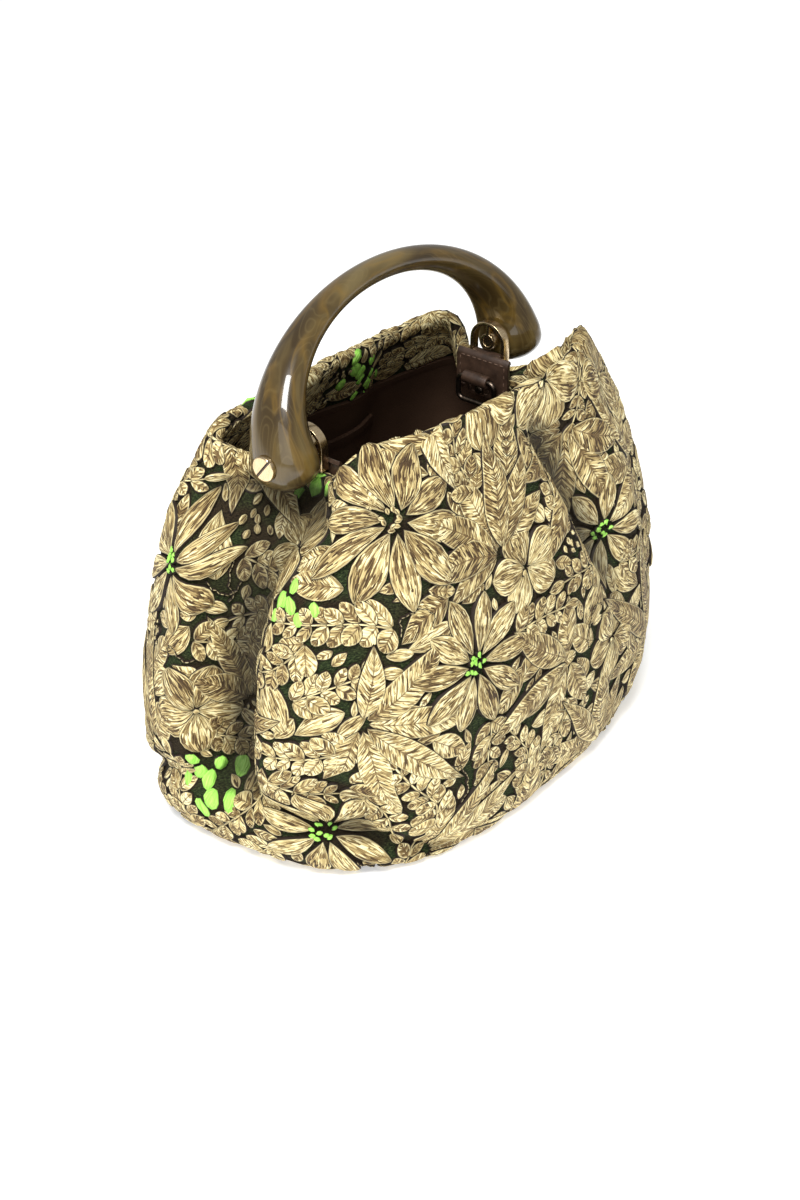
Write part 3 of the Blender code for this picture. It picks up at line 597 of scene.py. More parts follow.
class Layout:
    """Motifs placed on the shell so that they don't lie on each other."""

    def __init__(self, shell):
        self.shell = shell
        self.cell = 0.0006
        self.wide = 1080
        self.tall = int(shell.length[-1] / self.cell) + 1
        self.busy = np.zeros((self.tall, self.wide), dtype=bool)
        self.dice = np.random.default_rng(SEED)
        self.places = []
        self.parts = []

    def cells(self, place, parts, fine, swell):
        """Raster cells under a motif's parts at a place."""
        angle, length, matrix = place
        along = np.linspace(0.02, 0.98, 30 if fine else 14)
        found_x = []
        found_y = []
        for shape, x, y, turn, long, half, *_ in parts:
            early, blunt, bend, _ = OUTLINES[shape]
            steps = 19 if fine else 7
            across = np.linspace(-swell, swell, steps)
            wide = np.sin(np.pi * along ** early) ** blunt
            u = (along * long)[:, None] + np.zeros(steps)
            v = (wide[:, None] * across + bend * (along ** 2)[:, None]) * half
            c, s = math.cos(math.radians(turn)), math.sin(math.radians(turn))
            found_x.append((x + u * c - v * s).ravel())
            found_y.append((y + u * s + v * c).ravel())
        flat = np.stack([np.concatenate(found_x), np.concatenate(found_y)])
        turned = matrix @ flat
        column = ((angle + turned[0]) / (2 * math.pi)) % 1.0 * self.wide
        row = (length + turned[1]) / self.cell
        inside = (row >= 0) & (row < self.tall)
        return row[inside].astype(int), column[inside].astype(int) % self.wide, inside.mean()

    def add(self, angle, length, parts, overlap, cover=0.85):
        """Place a motif if enough of it is on free cloth."""
        place = (angle, length, self.shell.measure(angle, length))
        rows, columns, inside = self.cells(place, parts, False, 1.05)
        if inside < cover or self.busy[rows, columns].mean() > overlap:
            return False
        rows, columns, _ = self.cells(place, parts, True, 1.0)
        self.busy[rows, columns] = True
        number = len(self.places)
        self.places.append(place)
        tone = self.dice.uniform(-1, 1)
        for part in parts:
            self.parts.append((*part, number, tone + self.dice.uniform(-0.6, 0.6)))
        return True

    def scatter(self, make, tries, wanted, overlap, low=0.012, high=1.0):
        """Try a motif at random free places until enough of them lie."""
        placed = 0
        rows, columns = np.nonzero(~self.busy)
        for pick in self.dice.integers(len(rows), size=tries):
            angle = columns[pick] / self.wide * 2 * math.pi
            length = rows[pick] * self.cell
            if self.busy[rows[pick], columns[pick]] or not low < length < high:
                continue
            placed += self.add(angle, length, make(self.dice), overlap)
            if placed >= wanted:
                break
        return placed

    def fill(self):
        """Lay the whole cloth, from the large motifs to the small."""
        counts = [
            self.scatter(rosette, 600, 9, 0.02, 0.05, 0.225),
            self.scatter(lambda dice: berries(dice, 1), 400, 17, 0.04),
            self.scatter(palmette, 1400, 26, 0.10),
            self.scatter(blossom, 900, 22, 0.10),
            self.scatter(laurel, 3000, 90, 0.20),
            self.scatter(lambda dice: berries(dice, 0), 400, 18, 0.12),
            self.scatter(filigree, 500, 26, 0.10),
            self.scatter(lambda dice: single_leaf(dice, dice.uniform(0.020, 0.028), 0.72), 3000, 300, 0.34),
            self.scatter(lambda dice: single_leaf(dice, dice.uniform(0.012, 0.017), 0.62), 4000, 520, 0.36),
            self.scatter(lambda dice: single_leaf(dice, dice.uniform(0.007, 0.010), 0.55), 2500, 350, 0.34),
        ]
        print("motifs", counts, "cover", round(float(self.busy.mean()), 3), "parts", len(self.parts))


def new_object(name, mesh):
    """An object in the scene."""
    made = bpy.data.objects.new(name, mesh)
    bpy.context.scene.collection.objects.link(made)
    return made


def brocade_tree(look, leaves):
    """Nodes that lay a leaf on each point: its shape, turn and size are the point's."""
    tree = bpy.data.node_groups.new("raised_brocade", "GeometryNodeTree")
    tree.interface.new_socket("Geometry", in_out="INPUT", socket_type="NodeSocketGeometry")
    tree.interface.new_socket("Relief", in_out="INPUT", socket_type="NodeSocketFloat")
    tree.interface.new_socket("Leaves", in_out="INPUT", socket_type="NodeSocketCollection")
    tree.interface.new_socket("Geometry", in_out="OUTPUT", socket_type="NodeSocketGeometry")
    nodes, links = tree.nodes, tree.links
    start = nodes.new("NodeGroupInput")
    end = nodes.new("NodeGroupOutput")
    library = nodes.new("GeometryNodeCollectionInfo")
    library.inputs["Separate Children"].default_value = True
    library.inputs["Reset Children"].default_value = True
    links.new(start.outputs["Leaves"], library.inputs["Collection"])
    lay = nodes.new("GeometryNodeInstanceOnPoints")
    lay.inputs["Pick Instance"].default_value = True
    links.new(start.outputs["Geometry"], lay.inputs["Points"])
    links.new(library.outputs["Instances"], lay.inputs["Instance"])
    for name, kind, socket in (("shape", "INT", "Instance Index"), ("turn", "FLOAT_VECTOR", "Rotation")):
        read = nodes.new("GeometryNodeInputNamedAttribute")
        read.data_type = kind
        read.inputs["Name"].default_value = name
        links.new(read.outputs["Attribute"], lay.inputs[socket])
    size = nodes.new("GeometryNodeInputNamedAttribute")
    size.data_type = "FLOAT_VECTOR"
    size.inputs["Name"].default_value = "size"
    relief = nodes.new("ShaderNodeCombineXYZ")
    relief.inputs["X"].default_value = 1.0
    relief.inputs["Y"].default_value = 1.0
    links.new(start.outputs["Relief"], relief.inputs["Z"])
    scaled = nodes.new("ShaderNodeVectorMath")
    scaled.operation = "MULTIPLY"
    links.new(size.outputs["Attribute"], scaled.inputs[0])
    links.new(relief.outputs["Vector"], scaled.inputs[1])
    links.new(scaled.outputs["Vector"], lay.inputs["Scale"])
    real = nodes.new("GeometryNodeRealizeInstances")
    links.new(lay.outputs["Instances"], real.inputs["Geometry"])
    finish = nodes.new("GeometryNodeSetMaterial")
    finish.inputs["Material"].default_value = look
    links.new(real.outputs["Geometry"], finish.inputs["Geometry"])
    links.new(finish.outputs["Geometry"], end.inputs["Geometry"])
    return tree


def set_input(modifier, name, value):
    """Set a tree's named input by its socket's identifier."""
    for item in modifier.node_group.interface.items_tree:
        if item.item_type == "SOCKET" and item.in_out == "INPUT" and item.name == name:
            modifier[item.identifier] = value


def plain_mesh(made, name):
    """The evaluated object as a plain mesh."""
    bpy.context.view_layer.update()
    graph = bpy.context.evaluated_depsgraph_get()
    mesh = bpy.data.meshes.new_from_object(made.evaluated_get(graph))
    mesh.name = name
    return mesh


def read_points(mesh, name, kind, width):
    """A point attribute as an array."""
    values = np.zeros(len(mesh.vertices) * width, dtype=np.int32 if kind == "value_int" else np.float32)
    mesh.attributes[name].data.foreach_get("value" if kind == "value_int" else kind, values)
    return values.reshape(-1, width) if width > 1 else values


def add_uv(mesh, name, values):
    """A UV map from one pair of values a vertex."""
    layer = mesh.uv_layers.new(name=name)
    corner = np.zeros(len(mesh.loops), dtype=np.int32)
    mesh.loops.foreach_get("vertex_index", corner)
    layer.data.foreach_set("uv", values[corner].astype(np.float32).ravel())


def raised_brocade(name, layout, on_front, look, leaves):
    """The motifs of one panel as one mesh, laid flat by nodes and wrapped on the shell."""
    parts = [part for part in layout.parts if (layout.places[part[9]][0] < math.pi) == on_front]
    mesh = bpy.data.meshes.new(f"{name}_points")
    mesh.from_pydata([(part[1], part[2], 0.0) for part in parts], [], [])
    table = {
        "shape": ("INT", "value", [part[0] for part in parts]),
        "part": ("INT", "value", range(len(parts))),
        "turn": ("FLOAT_VECTOR", "vector", [(0.0, 0.0, math.radians(part[3])) for part in parts]),
        "size": ("FLOAT_VECTOR", "vector", [(part[4], part[5], part[6]) for part in parts]),
    }
    for key, (kind, field, values) in table.items():
        layer = mesh.attributes.new(key, kind, "POINT")
        kind_array = np.int32 if kind == "INT" else np.float32
        layer.data.foreach_set(field, np.array(values, dtype=kind_array).ravel())
    points = new_object(f"{name}_points", mesh)
    modifier = points.modifiers.new("brocade", "NODES")
    modifier.node_group = brocade_tree(look, leaves)
    set_input(modifier, "Relief", RELIEF)
    set_input(modifier, "Leaves", leaves)
    made = plain_mesh(points, name)
    bpy.data.objects.remove(points)
    wrap_on_shell(made, layout, np.array(parts, dtype=float))
    return new_object(name, made)


def wrap_on_shell(mesh, layout, parts):
    """Move a flat mesh onto the shell, each vertex by its motif's place, and mark its threads."""
    count = len(mesh.vertices)
    flat = np.zeros(count * 3, dtype=np.float32)
    mesh.vertices.foreach_get("co", flat)
    flat = flat.reshape(-1, 3).astype(float)
    own = parts[read_points(mesh, "part", "value_int", 1)]
    motif = own[:, 9].astype(int)
    angles = np.array([place[0] for place in layout.places])[motif]
    lengths = np.array([place[1] for place in layout.places])[motif]
    matrices = np.array([place[2] for place in layout.places])[motif]
    moved = np.einsum("nij,nj->ni", matrices, flat[:, :2])
    shell = layout.shell
    wanted = lengths + moved[:, 1]
    length = np.clip(wanted, 0.0, shell.length[-1])
    point, normal = shell.look(angles + moved[:, 0], length)
    height = np.where(wanted > shell.length[-1], -GROUND_SINK, flat[:, 2])
    wrapped = point + normal * (height - GROUND_SINK)[:, None]
    wrapped[:, 2] = np.maximum(wrapped[:, 2], 0.0002)
    mesh.vertices.foreach_set("co", wrapped.astype(np.float32).ravel())
    leaf = read_points(mesh, "leaf", "vector", 3)
    along = leaf[:, 0] * own[:, 4]
    across = np.abs(leaf[:, 1]) * own[:, 5]
    slanted = np.stack([along * 0.64 + across * 0.77, along * 0.77 - across * 0.64], axis=-1)
    straight = np.stack([along, leaf[:, 1] * own[:, 5]], axis=-1)
    threads = np.where(own[:, 8:9] > 0.5, slanted, straight)
    add_uv(mesh, "thread", threads + (own[:, 10:11] * 3.7) % 1.0)
    add_uv(mesh, "OFBake", np.stack([(angles + moved[:, 0]) / (2 * math.pi),
                                     length / shell.length[-1]], axis=-1))
    early, blunt = np.array([OUTLINES[shape][:2] for shape in OUTLINES])[own[:, 0].astype(int)].T
    wide = np.sin(np.pi * np.clip(leaf[:, 0], 0.001, 0.999) ** early) ** blunt
    rim = (1.04 - np.abs(leaf[:, 1])) * own[:, 5] * wide * 1000.0
    ends = np.minimum(leaf[:, 0], 1.0 - leaf[:, 0]) * own[:, 4] * 1000.0
    rim = np.minimum(rim, ends + 0.25)
    rib = np.where(own[:, 8] > 0.5, np.abs(leaf[:, 1]) * own[:, 5] * wide * 1000.0, 5.0)
    # Fold depth under each vertex, which the thread colour darkens by as painted shade.
    hollow = shell.read(shell.hollow, angles + moved[:, 0], length)[:, 0]
    marks = (("green", own[:, 7]), ("tone", own[:, 10]), ("rim", rim), ("rib", rib), ("hollow", hollow))
    for name, values in marks:
        layer = mesh.attributes.new(name, "FLOAT", "POINT")
        layer.data.foreach_set("value", values.astype(np.float32))
    mesh.attributes.remove(mesh.attributes["part"])
    mesh.update()


def ground_panel(name, shell, first, look):
    """The ground weave of one panel as a closed solid: outside, rim, facing and inside."""
    columns = np.arange(first, first + SHELL_COLUMNS // 2 + 1, 4)
    picked = np.concatenate([np.arange(0, 40, 2), np.arange(40, 236, 2), np.arange(236, len(shell.length))])
    outside = (shell.points - shell.normals * GROUND_SINK)[picked][:, columns]
    outside[..., 2] = np.maximum(outside[..., 2], 0.0006)
    inside = (shell.points - shell.normals * WALL)[:247:6][::-1][:, columns]
    inside[..., 2] = np.maximum(inside[..., 2], WALL)
    whole = np.concatenate([outside, inside[4:]])
    bm = bmesh.new()
    grid = [[bm.verts.new(Vector(point)) for point in row] for row in whole]
    poles = [bm.verts.new((0.0, SEAM_Y, height)) for height in (0.0006, WALL)]
    for low, high in zip(grid[:-1], grid[1:]):
        for index in range(len(columns) - 1):
            bm.faces.new((low[index], low[index + 1], high[index + 1], high[index]))
    for index in range(len(columns) - 1):
        bm.faces.new((poles[0], grid[0][index + 1], grid[0][index]))
        bm.faces.new((poles[1], grid[-1][index], grid[-1][index + 1]))
    edges = [edge for edge in bm.edges if len(edge.link_faces) == 1]
    bmesh.ops.triangle_fill(bm, use_beauty=True, edges=edges, normal=(0.0, 1.0, 0.0))
    bmesh.ops.recalc_face_normals(bm, faces=bm.faces)
    mesh = bpy.data.meshes.new(name)
    bm.to_mesh(mesh)
    bm.free()
    mesh.shade_smooth()
    mesh.set_sharp_from_angle(angle=math.radians(70.0))
    mesh.materials.append(look)
    steps = np.linalg.norm(np.diff(whole, axis=0), axis=-1).mean(axis=1)
    up = np.concatenate([[0.0], np.cumsum(steps)])
    along = np.linspace(0.0, 0.32, len(columns))
    flat = np.array([(x, y) for y in up for x in along] + [(0.0, 0.0), (0.0, up[-1])])
    add_uv(mesh, "cloth", flat)
    # Fold depth on the outside for the painted shade in the folds; none on the inside.
    hollow = np.zeros(len(mesh.vertices), dtype=np.float32)
    hollow[:len(picked) * len(columns)] = shell.hollow[picked][:, columns, 0].ravel()
    mesh.attributes.new("hollow", "FLOAT", "POINT").data.foreach_set("value", hollow)
    return new_object(name, mesh)


# Lining and pocket

def fold_depth(angles, part):
    """How far the lining's soft folds stand into the bag; part is 0 at its top, 1 at its foot."""
    dice = np.random.default_rng(SEED + 2)
    depth = np.zeros_like(angles)
    for _ in range(7):
        around = int(dice.integers(5, 17))
        phase = dice.uniform(0.0, 2.0 * math.pi)
        depth += np.sin(around * angles + phase + dice.uniform(-5.0, 5.0) * part) / 7.0
    soft = smooth(np.asarray(part), 0.03, 0.30) * (1.0 - smooth(np.asarray(part), 0.85, 1.0))
    return LINING_FOLD * (0.5 + depth) * soft


def closed_wrap(bm, rows):
    """Faces round and between closed rows of vertices; a row of one vertex is a pole."""
    for low, high in zip(rows[:-1], rows[1:]):
        for index in range(max(len(low), len(high))):
            corners = [low[index % len(low)], low[(index + 1) % len(low)],
                       high[(index + 1) % len(high)], high[index % len(high)]]
            bm.faces.new(list(dict.fromkeys(corners)))


def finished_mesh(bm, name, look, sharp=40.0):
    """A bmesh as a smooth mesh whose faces point out."""
    bmesh.ops.recalc_face_normals(bm, faces=bm.faces)
    mesh = bpy.data.meshes.new(name)
    bm.to_mesh(mesh)
    bm.free()
    mesh.shade_smooth()
    mesh.set_sharp_from_angle(angle=math.radians(sharp))
    mesh.materials.append(look)
    return mesh


def lining_piece(shell, look):
    """The inner bag with a turned top edge and soft folds, as one closed solid."""
    columns = np.arange(0, SHELL_COLUMNS, SHELL_COLUMNS // LINING_COLUMNS)
    angles = columns / SHELL_COLUMNS * 2.0 * math.pi
    rim = shell.points[BASE_ROWS + WALL_ROWS - 1, columns, 2]
    edge = 2.0 - FACING_DEPTH / rim
    hem = float(np.mean(HEM / (rim - FACING_DEPTH)))
    parts = [0.004, 0.4 * hem, 0.85 * hem, hem, 1.15 * hem] + list(np.linspace(1.6 * hem, 1.0, 52))
    outside = WALL + LAYER_GAP
    front = []
    back = []
    for part in parts:
        share = edge + (1.0 - edge) * part
        turned_edge = 0.0007 * (part < 0.9 * hem) - 0.0003 * (abs(part - hem) < 0.1 * hem)
        depth = outside + LINING + turned_edge + fold_depth(angles, part)
        front.append(shell.under(columns, share, depth))
        back.append(shell.under(columns, share, outside))
    for share in (0.9, 0.7, 0.45):
        front.append(shell.under(columns, np.full(len(columns), share), outside + LINING))
    back.append(shell.under(columns, np.full(len(columns), 0.45), outside))
    front[-1][:, 2] = outside + LINING
    back[-1][:, 2] = outside
    bm = bmesh.new()
    shown = [[bm.verts.new(Vector(point)) for point in row] for row in front]
    hidden = [[bm.verts.new(Vector(point)) for point in row] for row in back]
    poles = [[bm.verts.new((0.0, SEAM_Y, height))] for height in (outside + LINING, outside)]
    closed_wrap(bm, [poles[0]] + shown[::-1] + hidden + [poles[1]])
    mesh = finished_mesh(bm, "lining_cloth", look)
    count = len(front) + len(back)
    flat = np.stack([np.tile(angles * 0.09, count), np.repeat(np.linspace(0.0, 0.4, count), len(columns))], axis=-1)
    add_uv(mesh, "cloth", np.concatenate([flat, [(0.0, 0.4), (0.0, 0.4)]]))
    return new_object("lining_cloth", mesh)


def pocket_piece(shell, look):
    """The flat open pocket on the back of the lining, a little slack at its top edge."""
    ends = [SHELL_COLUMNS * (value + 90) // 360 for value in POCKET_ANGLES]
    columns = np.arange(ends[0], ends[1], 3)
    wide = len(columns)
    angles = columns / SHELL_COLUMNS * 2.0 * math.pi
    across = np.linspace(0.0, 1.0, wide)
    heights = np.linspace(POCKET_HEIGHTS[1], POCKET_HEIGHTS[0], 36)
    rim = shell.points[BASE_ROWS + WALL_ROWS - 1, columns, 2]
    outside = WALL + LAYER_GAP + LINING + LAYER_GAP / 2
    bm = bmesh.new()
    loops = []
    for index, height in enumerate(heights):
        folds = fold_depth(angles, 1.0 - height / (rim - FACING_DEPTH))
        slack = 0.0022 * np.sin(math.pi * across) * (1.0 - index / 35.0) ** 1.5
        lip = 0.0006 if index < 3 else 0.0
        depth = outside + folds + slack
        back = shell.under(columns, 1.0 + height / rim, depth)
        front = shell.under(columns, 1.0 + height / rim, depth + POCKET_THICKNESS + lip)
        ring = [bm.verts.new(Vector(point)) for point in back]
        ring += [bm.verts.new(Vector(point)) for point in front[::-1]]
        loops.append(ring)
    closed_wrap(bm, loops)
    for ring in (loops[0], loops[-1]):
        for index in range(wide - 1):
            bm.faces.new((ring[index], ring[index + 1], ring[2 * wide - 2 - index], ring[2 * wide - 1 - index]))
    mesh = finished_mesh(bm, "pocket_cloth", look)
    side = np.concatenate([across, across[::-1]]) * 0.10
    add_uv(mesh, "cloth", np.stack([np.tile(side, 36), np.repeat(heights, 2 * wide)], axis=-1))
    return new_object("pocket_cloth", mesh)


# Handle and hardware

def arch_line(share):
    """Middle line of the handle in its own plane: 0 and 1 are the legs' tips."""
    half_length = math.pi / 2
    turn = (2.0 * share - 1.0) * (half_length + LEG_DROP / HANDLE_RISE)
    if abs(turn) > half_length:
        drop = (abs(turn) - half_length) * HANDLE_RISE
        return Vector((math.copysign(PIN_SPAN / 2, turn), 0.0, -drop))
    power = 1.0 / ARCH_SQUARENESS
    sine = abs(math.sin(turn)) ** power
    cosine = math.cos(turn) ** power
    return Vector((math.copysign(PIN_SPAN / 2 * sine, turn), 0.0, HANDLE_RISE * cosine))


def lathe(name, profile, side, look, segments=64):
    """A solid turned about X from outward distance and radius, its ends flat."""
    bm = bmesh.new()
    rows = []
    for x, radius in profile:
        turns = [2.0 * math.pi * step / segments for step in range(segments)]
        rows.append([bm.verts.new((side * x, radius * math.cos(turn), radius * math.sin(turn))) for turn in turns])
    closed_wrap(bm, rows)
    bm.faces.new(rows[0])
    bm.faces.new(rows[-1])
    return new_object(name, finished_mesh(bm, name, look))


def cut_away(target, cutter):
    """Cut one object out of another, and keep the result as a plain mesh."""
    modifier = target.modifiers.new("cut", "BOOLEAN")
    modifier.object = cutter
    modifier.solver = "EXACT"
    mesh = plain_mesh(target, target.name)
    target.modifiers.clear()
    target.data = mesh
    bpy.data.objects.remove(cutter)


def settle(made, matrix, sharp=35.0):
    """Put a piece's place in its mesh, and its object at the origin."""
    made.data.transform(matrix)
    made.data.shade_smooth()
    made.data.set_sharp_from_angle(angle=math.radians(sharp))
    made.matrix_world = Matrix.Identity(4)
    return made


def arch_places(points):
    """Places along the arch, front to back, and out from its middle line, for points in its plane."""
    line = np.array([arch_line(share)[:] for share in np.linspace(0.0, 1.0, 500)])
    steps = np.linalg.norm(np.diff(line, axis=0), axis=-1)
    along = np.concatenate([[0.0], np.cumsum(steps)])
    gaps = np.hypot(points[:, 0:1] - line[None, :, 0], points[:, 2:3] - line[None, :, 2])
    nearest = gaps.argmin(axis=1)
    outward = np.hypot(points[:, 0], points[:, 2]) - np.hypot(line[nearest, 0], line[nearest, 2])
    return np.stack([along[nearest], points[:, 1], outward], axis=-1)


def handle_piece(look):
    """The cast arch: an oval section that grows from the top to the legs, with round tips."""
    bm = bmesh.new()
    rows = []
    steps = 150
    sides = 64
    for step in range(steps + 1):
        share = 0.5 - 0.5 * math.cos(math.pi * step / steps)
        share = 0.5 * share + 0.5 * step / steps
        here = arch_line(share)
        along = (arch_line(min(share + 1e-3, 1.0)) - arch_line(max(share - 1e-3, 0.0))).normalized()
        across = Vector((0.0, 1.0, 0.0))
        radial = across.cross(along)
        spread = min(abs(here.z - HANDLE_RISE) / HANDLE_RISE, 1.0)
        width = HANDLE_TOP_WIDTH + (HANDLE_LEG_WIDTH - HANDLE_TOP_WIDTH) * spread ** HANDLE_TAPER
        tip = min(max(LEG_DROP + here.z, 0.0001) / TIP_ROUND, 1.0) if here.z < 0.0 else 1.0
        half = width / 2 * math.sqrt(1.0 - (1.0 - tip) ** 2)
        ring = []
        for side in range(sides):
            angle = 2.0 * math.pi * side / sides
            offset = radial * (half * HANDLE_THICKNESS * math.cos(angle)) + across * (half * math.sin(angle))
            ring.append(bm.verts.new(here + offset))
        rows.append(ring)
    closed_wrap(bm, rows)
    bm.faces.new(rows[0])
    bm.faces.new(rows[-1])
    handle = new_object("marbled_handle", finished_mesh(bm, "marbled_handle", look))
    reach = PIN_SPAN / 2 + HANDLE_LEG_WIDTH
    bore = SCREW_SHANK_DIAMETER / 2 + GAP
    cut_away(handle, lathe("bore", [(-reach, bore), (reach, bore)], 1, look))
    seat = PIN_SPAN / 2 + LEG_HALF_DEPTH - HEAD_SEAT_DEPTH
    spot = SCREW_HEAD_DIAMETER / 2 + GAP
    for side in (-1, 1):
        cut_away(handle, lathe("seat", [(seat, spot), (reach, spot)], side, look))
    points = np.zeros(len(handle.data.vertices) * 3, dtype=np.float32)
    handle.data.vertices.foreach_get("co", points)
    layer = handle.data.attributes.new("arch", "FLOAT_VECTOR", "POINT")
    layer.data.foreach_set("vector", arch_places(points.reshape(-1, 3)).astype(np.float32).ravel())
    lean = Matrix.Rotation(-math.radians(HANDLE_LEAN), 4, "X")
    return settle(handle, Matrix.Translation((0.0, SEAM_Y, PIN_HEIGHT)) @ lean, 50.0)


def screw_piece(side, look, hollow):
    """A slotted screw with a soft edge on its low head; the faces deep in its slot take a second, dark metal as
    painted shade.
    """
    seat = PIN_SPAN / 2 + LEG_HALF_DEPTH - HEAD_SEAT_DEPTH + GAP
    top = seat + SCREW_HEAD_HEIGHT
    head = SCREW_HEAD_DIAMETER / 2
    shank = SCREW_SHANK_DIAMETER / 2
    profile = [(RING_INNER_X + GAP, shank), (seat, shank), (seat, head), (top - 0.0006, head)]
    for step in range(1, 5):
        turn = math.radians(22.5 * step)
        profile.append((top - 0.0006 * (1.0 - math.sin(turn)) - 0.0001, head - 0.0006 * (1.0 - math.cos(turn))))
    profile.append((top, head * 0.45))
    screw = lathe(f"screw_{SIDE_NAMES[side]}", profile, side, look)
    bm = bmesh.new()
    turn_angle = math.radians(SLOT_TURN)
    turn = Matrix.Rotation(turn_angle, 4, "X")
    size = Matrix.Diagonal((2.0 * SLOT_DEPTH, SLOT_WIDTH, 2.4 * head, 1.0))
    bmesh.ops.create_cube(bm, size=1.0, matrix=Matrix.Translation((side * top, 0.0, 0.0)) @ turn @ size)
    cut_away(screw, new_object("slot", finished_mesh(bm, "slot", look)))
    # The slot's floor and walls take the dark metal: painted shade in the slot.
    screw.data.materials.append(hollow)
    for face in screw.data.polygons:
        beside = abs(face.center.y * math.cos(turn_angle) + face.center.z * math.sin(turn_angle))
        deep = abs(face.center.x) > top - SLOT_DEPTH - GAP / 2 and abs(face.center.x) < top - GAP / 10
        face.material_index = int(deep and beside < SLOT_WIDTH * 0.51)
    return settle(screw, Matrix.Translation((0.0, SEAM_Y, PIN_HEIGHT)))


def rivet_piece(side, look):
    """The small domed rivet through both leathers."""
    seat = STRAP_TAIL_X - LOOP_LEATHER / 2 - GAP
    head = RIVET_DIAMETER / 2
    profile = [(FACE_X + LEATHER / 2 - GAP, RIVET_SHANK / 2), (seat, RIVET_SHANK / 2), (seat, head)]
    for step in range(1, 7):
        turn = math.radians(14.0 * step)
        profile.append((seat - RIVET_HEIGHT * math.sin(turn), head * math.cos(turn)))
    rivet = lathe(f"rivet_{SIDE_NAMES[side]}", profile, side, look, 32)
    return settle(rivet, Matrix.Translation((0.0, SEAM_Y, PIN_HEIGHT - RIVET_DROP)))


def arc(center_y, center_z, radius, start, end, steps):
    """Points on an arc in the Y and Z plane, angles in degrees from +Y towards +Z."""
    turns = [math.radians(start + (end - start) * step / steps) for step in range(steps + 1)]
    return [(center_y + radius * math.cos(turn), center_z + radius * math.sin(turn)) for turn in turns]


def strap_ring_piece(side, look):
    """The oval wire ring."""
    across = (STRAP_RING_WIDTH - STRAP_RING_WIRE) / 2 - STRAP_RING_CORNER
    height = STRAP_RING_HEIGHT - STRAP_RING_WIRE
    bend = STRAP_RING_CORNER
    line = arc(across, -bend, bend, 90.0, 0.0, 10) + arc(across, bend - height, bend, 0.0, -90.0, 10)
    line += arc(-across, bend - height, bend, 270.0, 180.0, 10) + arc(-across, -bend, bend, 180.0, 90.0, 10)
    bm = bmesh.new()
    rows = []
    for index, (y, z) in enumerate(line):
        before = Vector((0.0, *line[index - 1]))
        after = Vector((0.0, *line[(index + 1) % len(line)]))
        out = (after - before).normalized().cross(Vector((1.0, 0.0, 0.0)))
        ring = []
        for step in range(18):
            angle = 2.0 * math.pi * step / 18
            offset = out * math.cos(angle) + Vector((1.0, 0.0, 0.0)) * math.sin(angle)
            ring.append(bm.verts.new(Vector((0.0, y, z)) + offset * STRAP_RING_WIRE / 2))
        rows.append(ring)
    closed_wrap(bm, rows + [rows[0]])
    name = f"oval_ring_{SIDE_NAMES[side]}"
    ring = new_object(name, finished_mesh(bm, name, look))
    return settle(ring, Matrix.Translation((side * STRAP_BAR_X, SEAM_Y, PIN_HEIGHT - STRAP_BAR_DROP)), 60.0)


def eased_copy(node, name, look, width):
    """A merged copy of a CAD node with soft edges."""
    bm = bmesh.new()
    bm.from_mesh(bpy.data.objects[node].data)
    bmesh.ops.remove_doubles(bm, verts=bm.verts, dist=2e-6)
    bmesh.ops.dissolve_limit(bm, angle_limit=math.radians(1.5), verts=bm.verts, edges=bm.edges)
    made = new_object(name, finished_mesh(bm, name, look))
    modifier = made.modifiers.new("ease", "BEVEL")
    modifier.width = width
    modifier.segments = 3
    modifier.limit_method = "ANGLE"
    modifier.angle_limit = math.radians(35.0)
    modifier.use_clamp_overlap = True
    mesh = plain_mesh(made, name)
    made.modifiers.clear()
    made.data = mesh
    return settle(made, Matrix.Identity(4), 45.0)


def stitch_tree(look):
    """Nodes that lay a short round stitch along each point's own direction."""
    tree = bpy.data.node_groups.new("stitches", "GeometryNodeTree")
    tree.interface.new_socket("Geometry", in_out="INPUT", socket_type="NodeSocketGeometry")
    tree.interface.new_socket("Stitch length", in_out="INPUT", socket_type="NodeSocketFloat")
    tree.interface.new_socket("Thread radius", in_out="INPUT", socket_type="NodeSocketFloat")
    tree.interface.new_socket("Geometry", in_out="OUTPUT", socket_type="NodeSocketGeometry")
    nodes, links = tree.nodes, tree.links
    start = nodes.new("NodeGroupInput")
    end = nodes.new("NodeGroupOutput")
    thread = nodes.new("GeometryNodeMeshUVSphere")
    thread.inputs["Segments"].default_value = 8
    thread.inputs["Rings"].default_value = 6
    thread.inputs["Radius"].default_value = 1.0
    half = nodes.new("ShaderNodeMath")
    half.operation = "MULTIPLY"
    half.inputs[1].default_value = 0.5
    links.new(start.outputs["Stitch length"], half.inputs[0])
    size = nodes.new("ShaderNodeCombineXYZ")
    links.new(start.outputs["Thread radius"], size.inputs["X"])
    links.new(start.outputs["Thread radius"], size.inputs["Y"])
    links.new(half.outputs[0], size.inputs["Z"])
    turn = nodes.new("GeometryNodeInputNamedAttribute")
    turn.data_type = "FLOAT_VECTOR"
    turn.inputs["Name"].default_value = "turn"
    lay = nodes.new("GeometryNodeInstanceOnPoints")
    links.new(start.outputs["Geometry"], lay.inputs["Points"])
    links.new(thread.outputs["Mesh"], lay.inputs["Instance"])
    links.new(turn.outputs["Attribute"], lay.inputs["Rotation"])
    links.new(size.outputs["Vector"], lay.inputs["Scale"])
    real = nodes.new("GeometryNodeRealizeInstances")
    links.new(lay.outputs["Instances"], real.inputs["Geometry"])
    finish = nodes.new("GeometryNodeSetMaterial")
    finish.inputs["Material"].default_value = look
    links.new(real.outputs["Geometry"], finish.inputs["Geometry"])
    links.new(finish.outputs["Geometry"], end.inputs["Geometry"])
    return tree


def stitch_line(start, end):
    """Places and turns of stitches from one point in Y and Z to another."""
    way = Vector(end) - Vector(start)
    count = int(way.length / (STITCH_LENGTH + STITCH_GAP))
    turn = (-math.atan2(way.x, way.y), 0.0, 0.0)
    return [(Vector(start) + way * (index + 0.5) / count, turn) for index in range(count)]


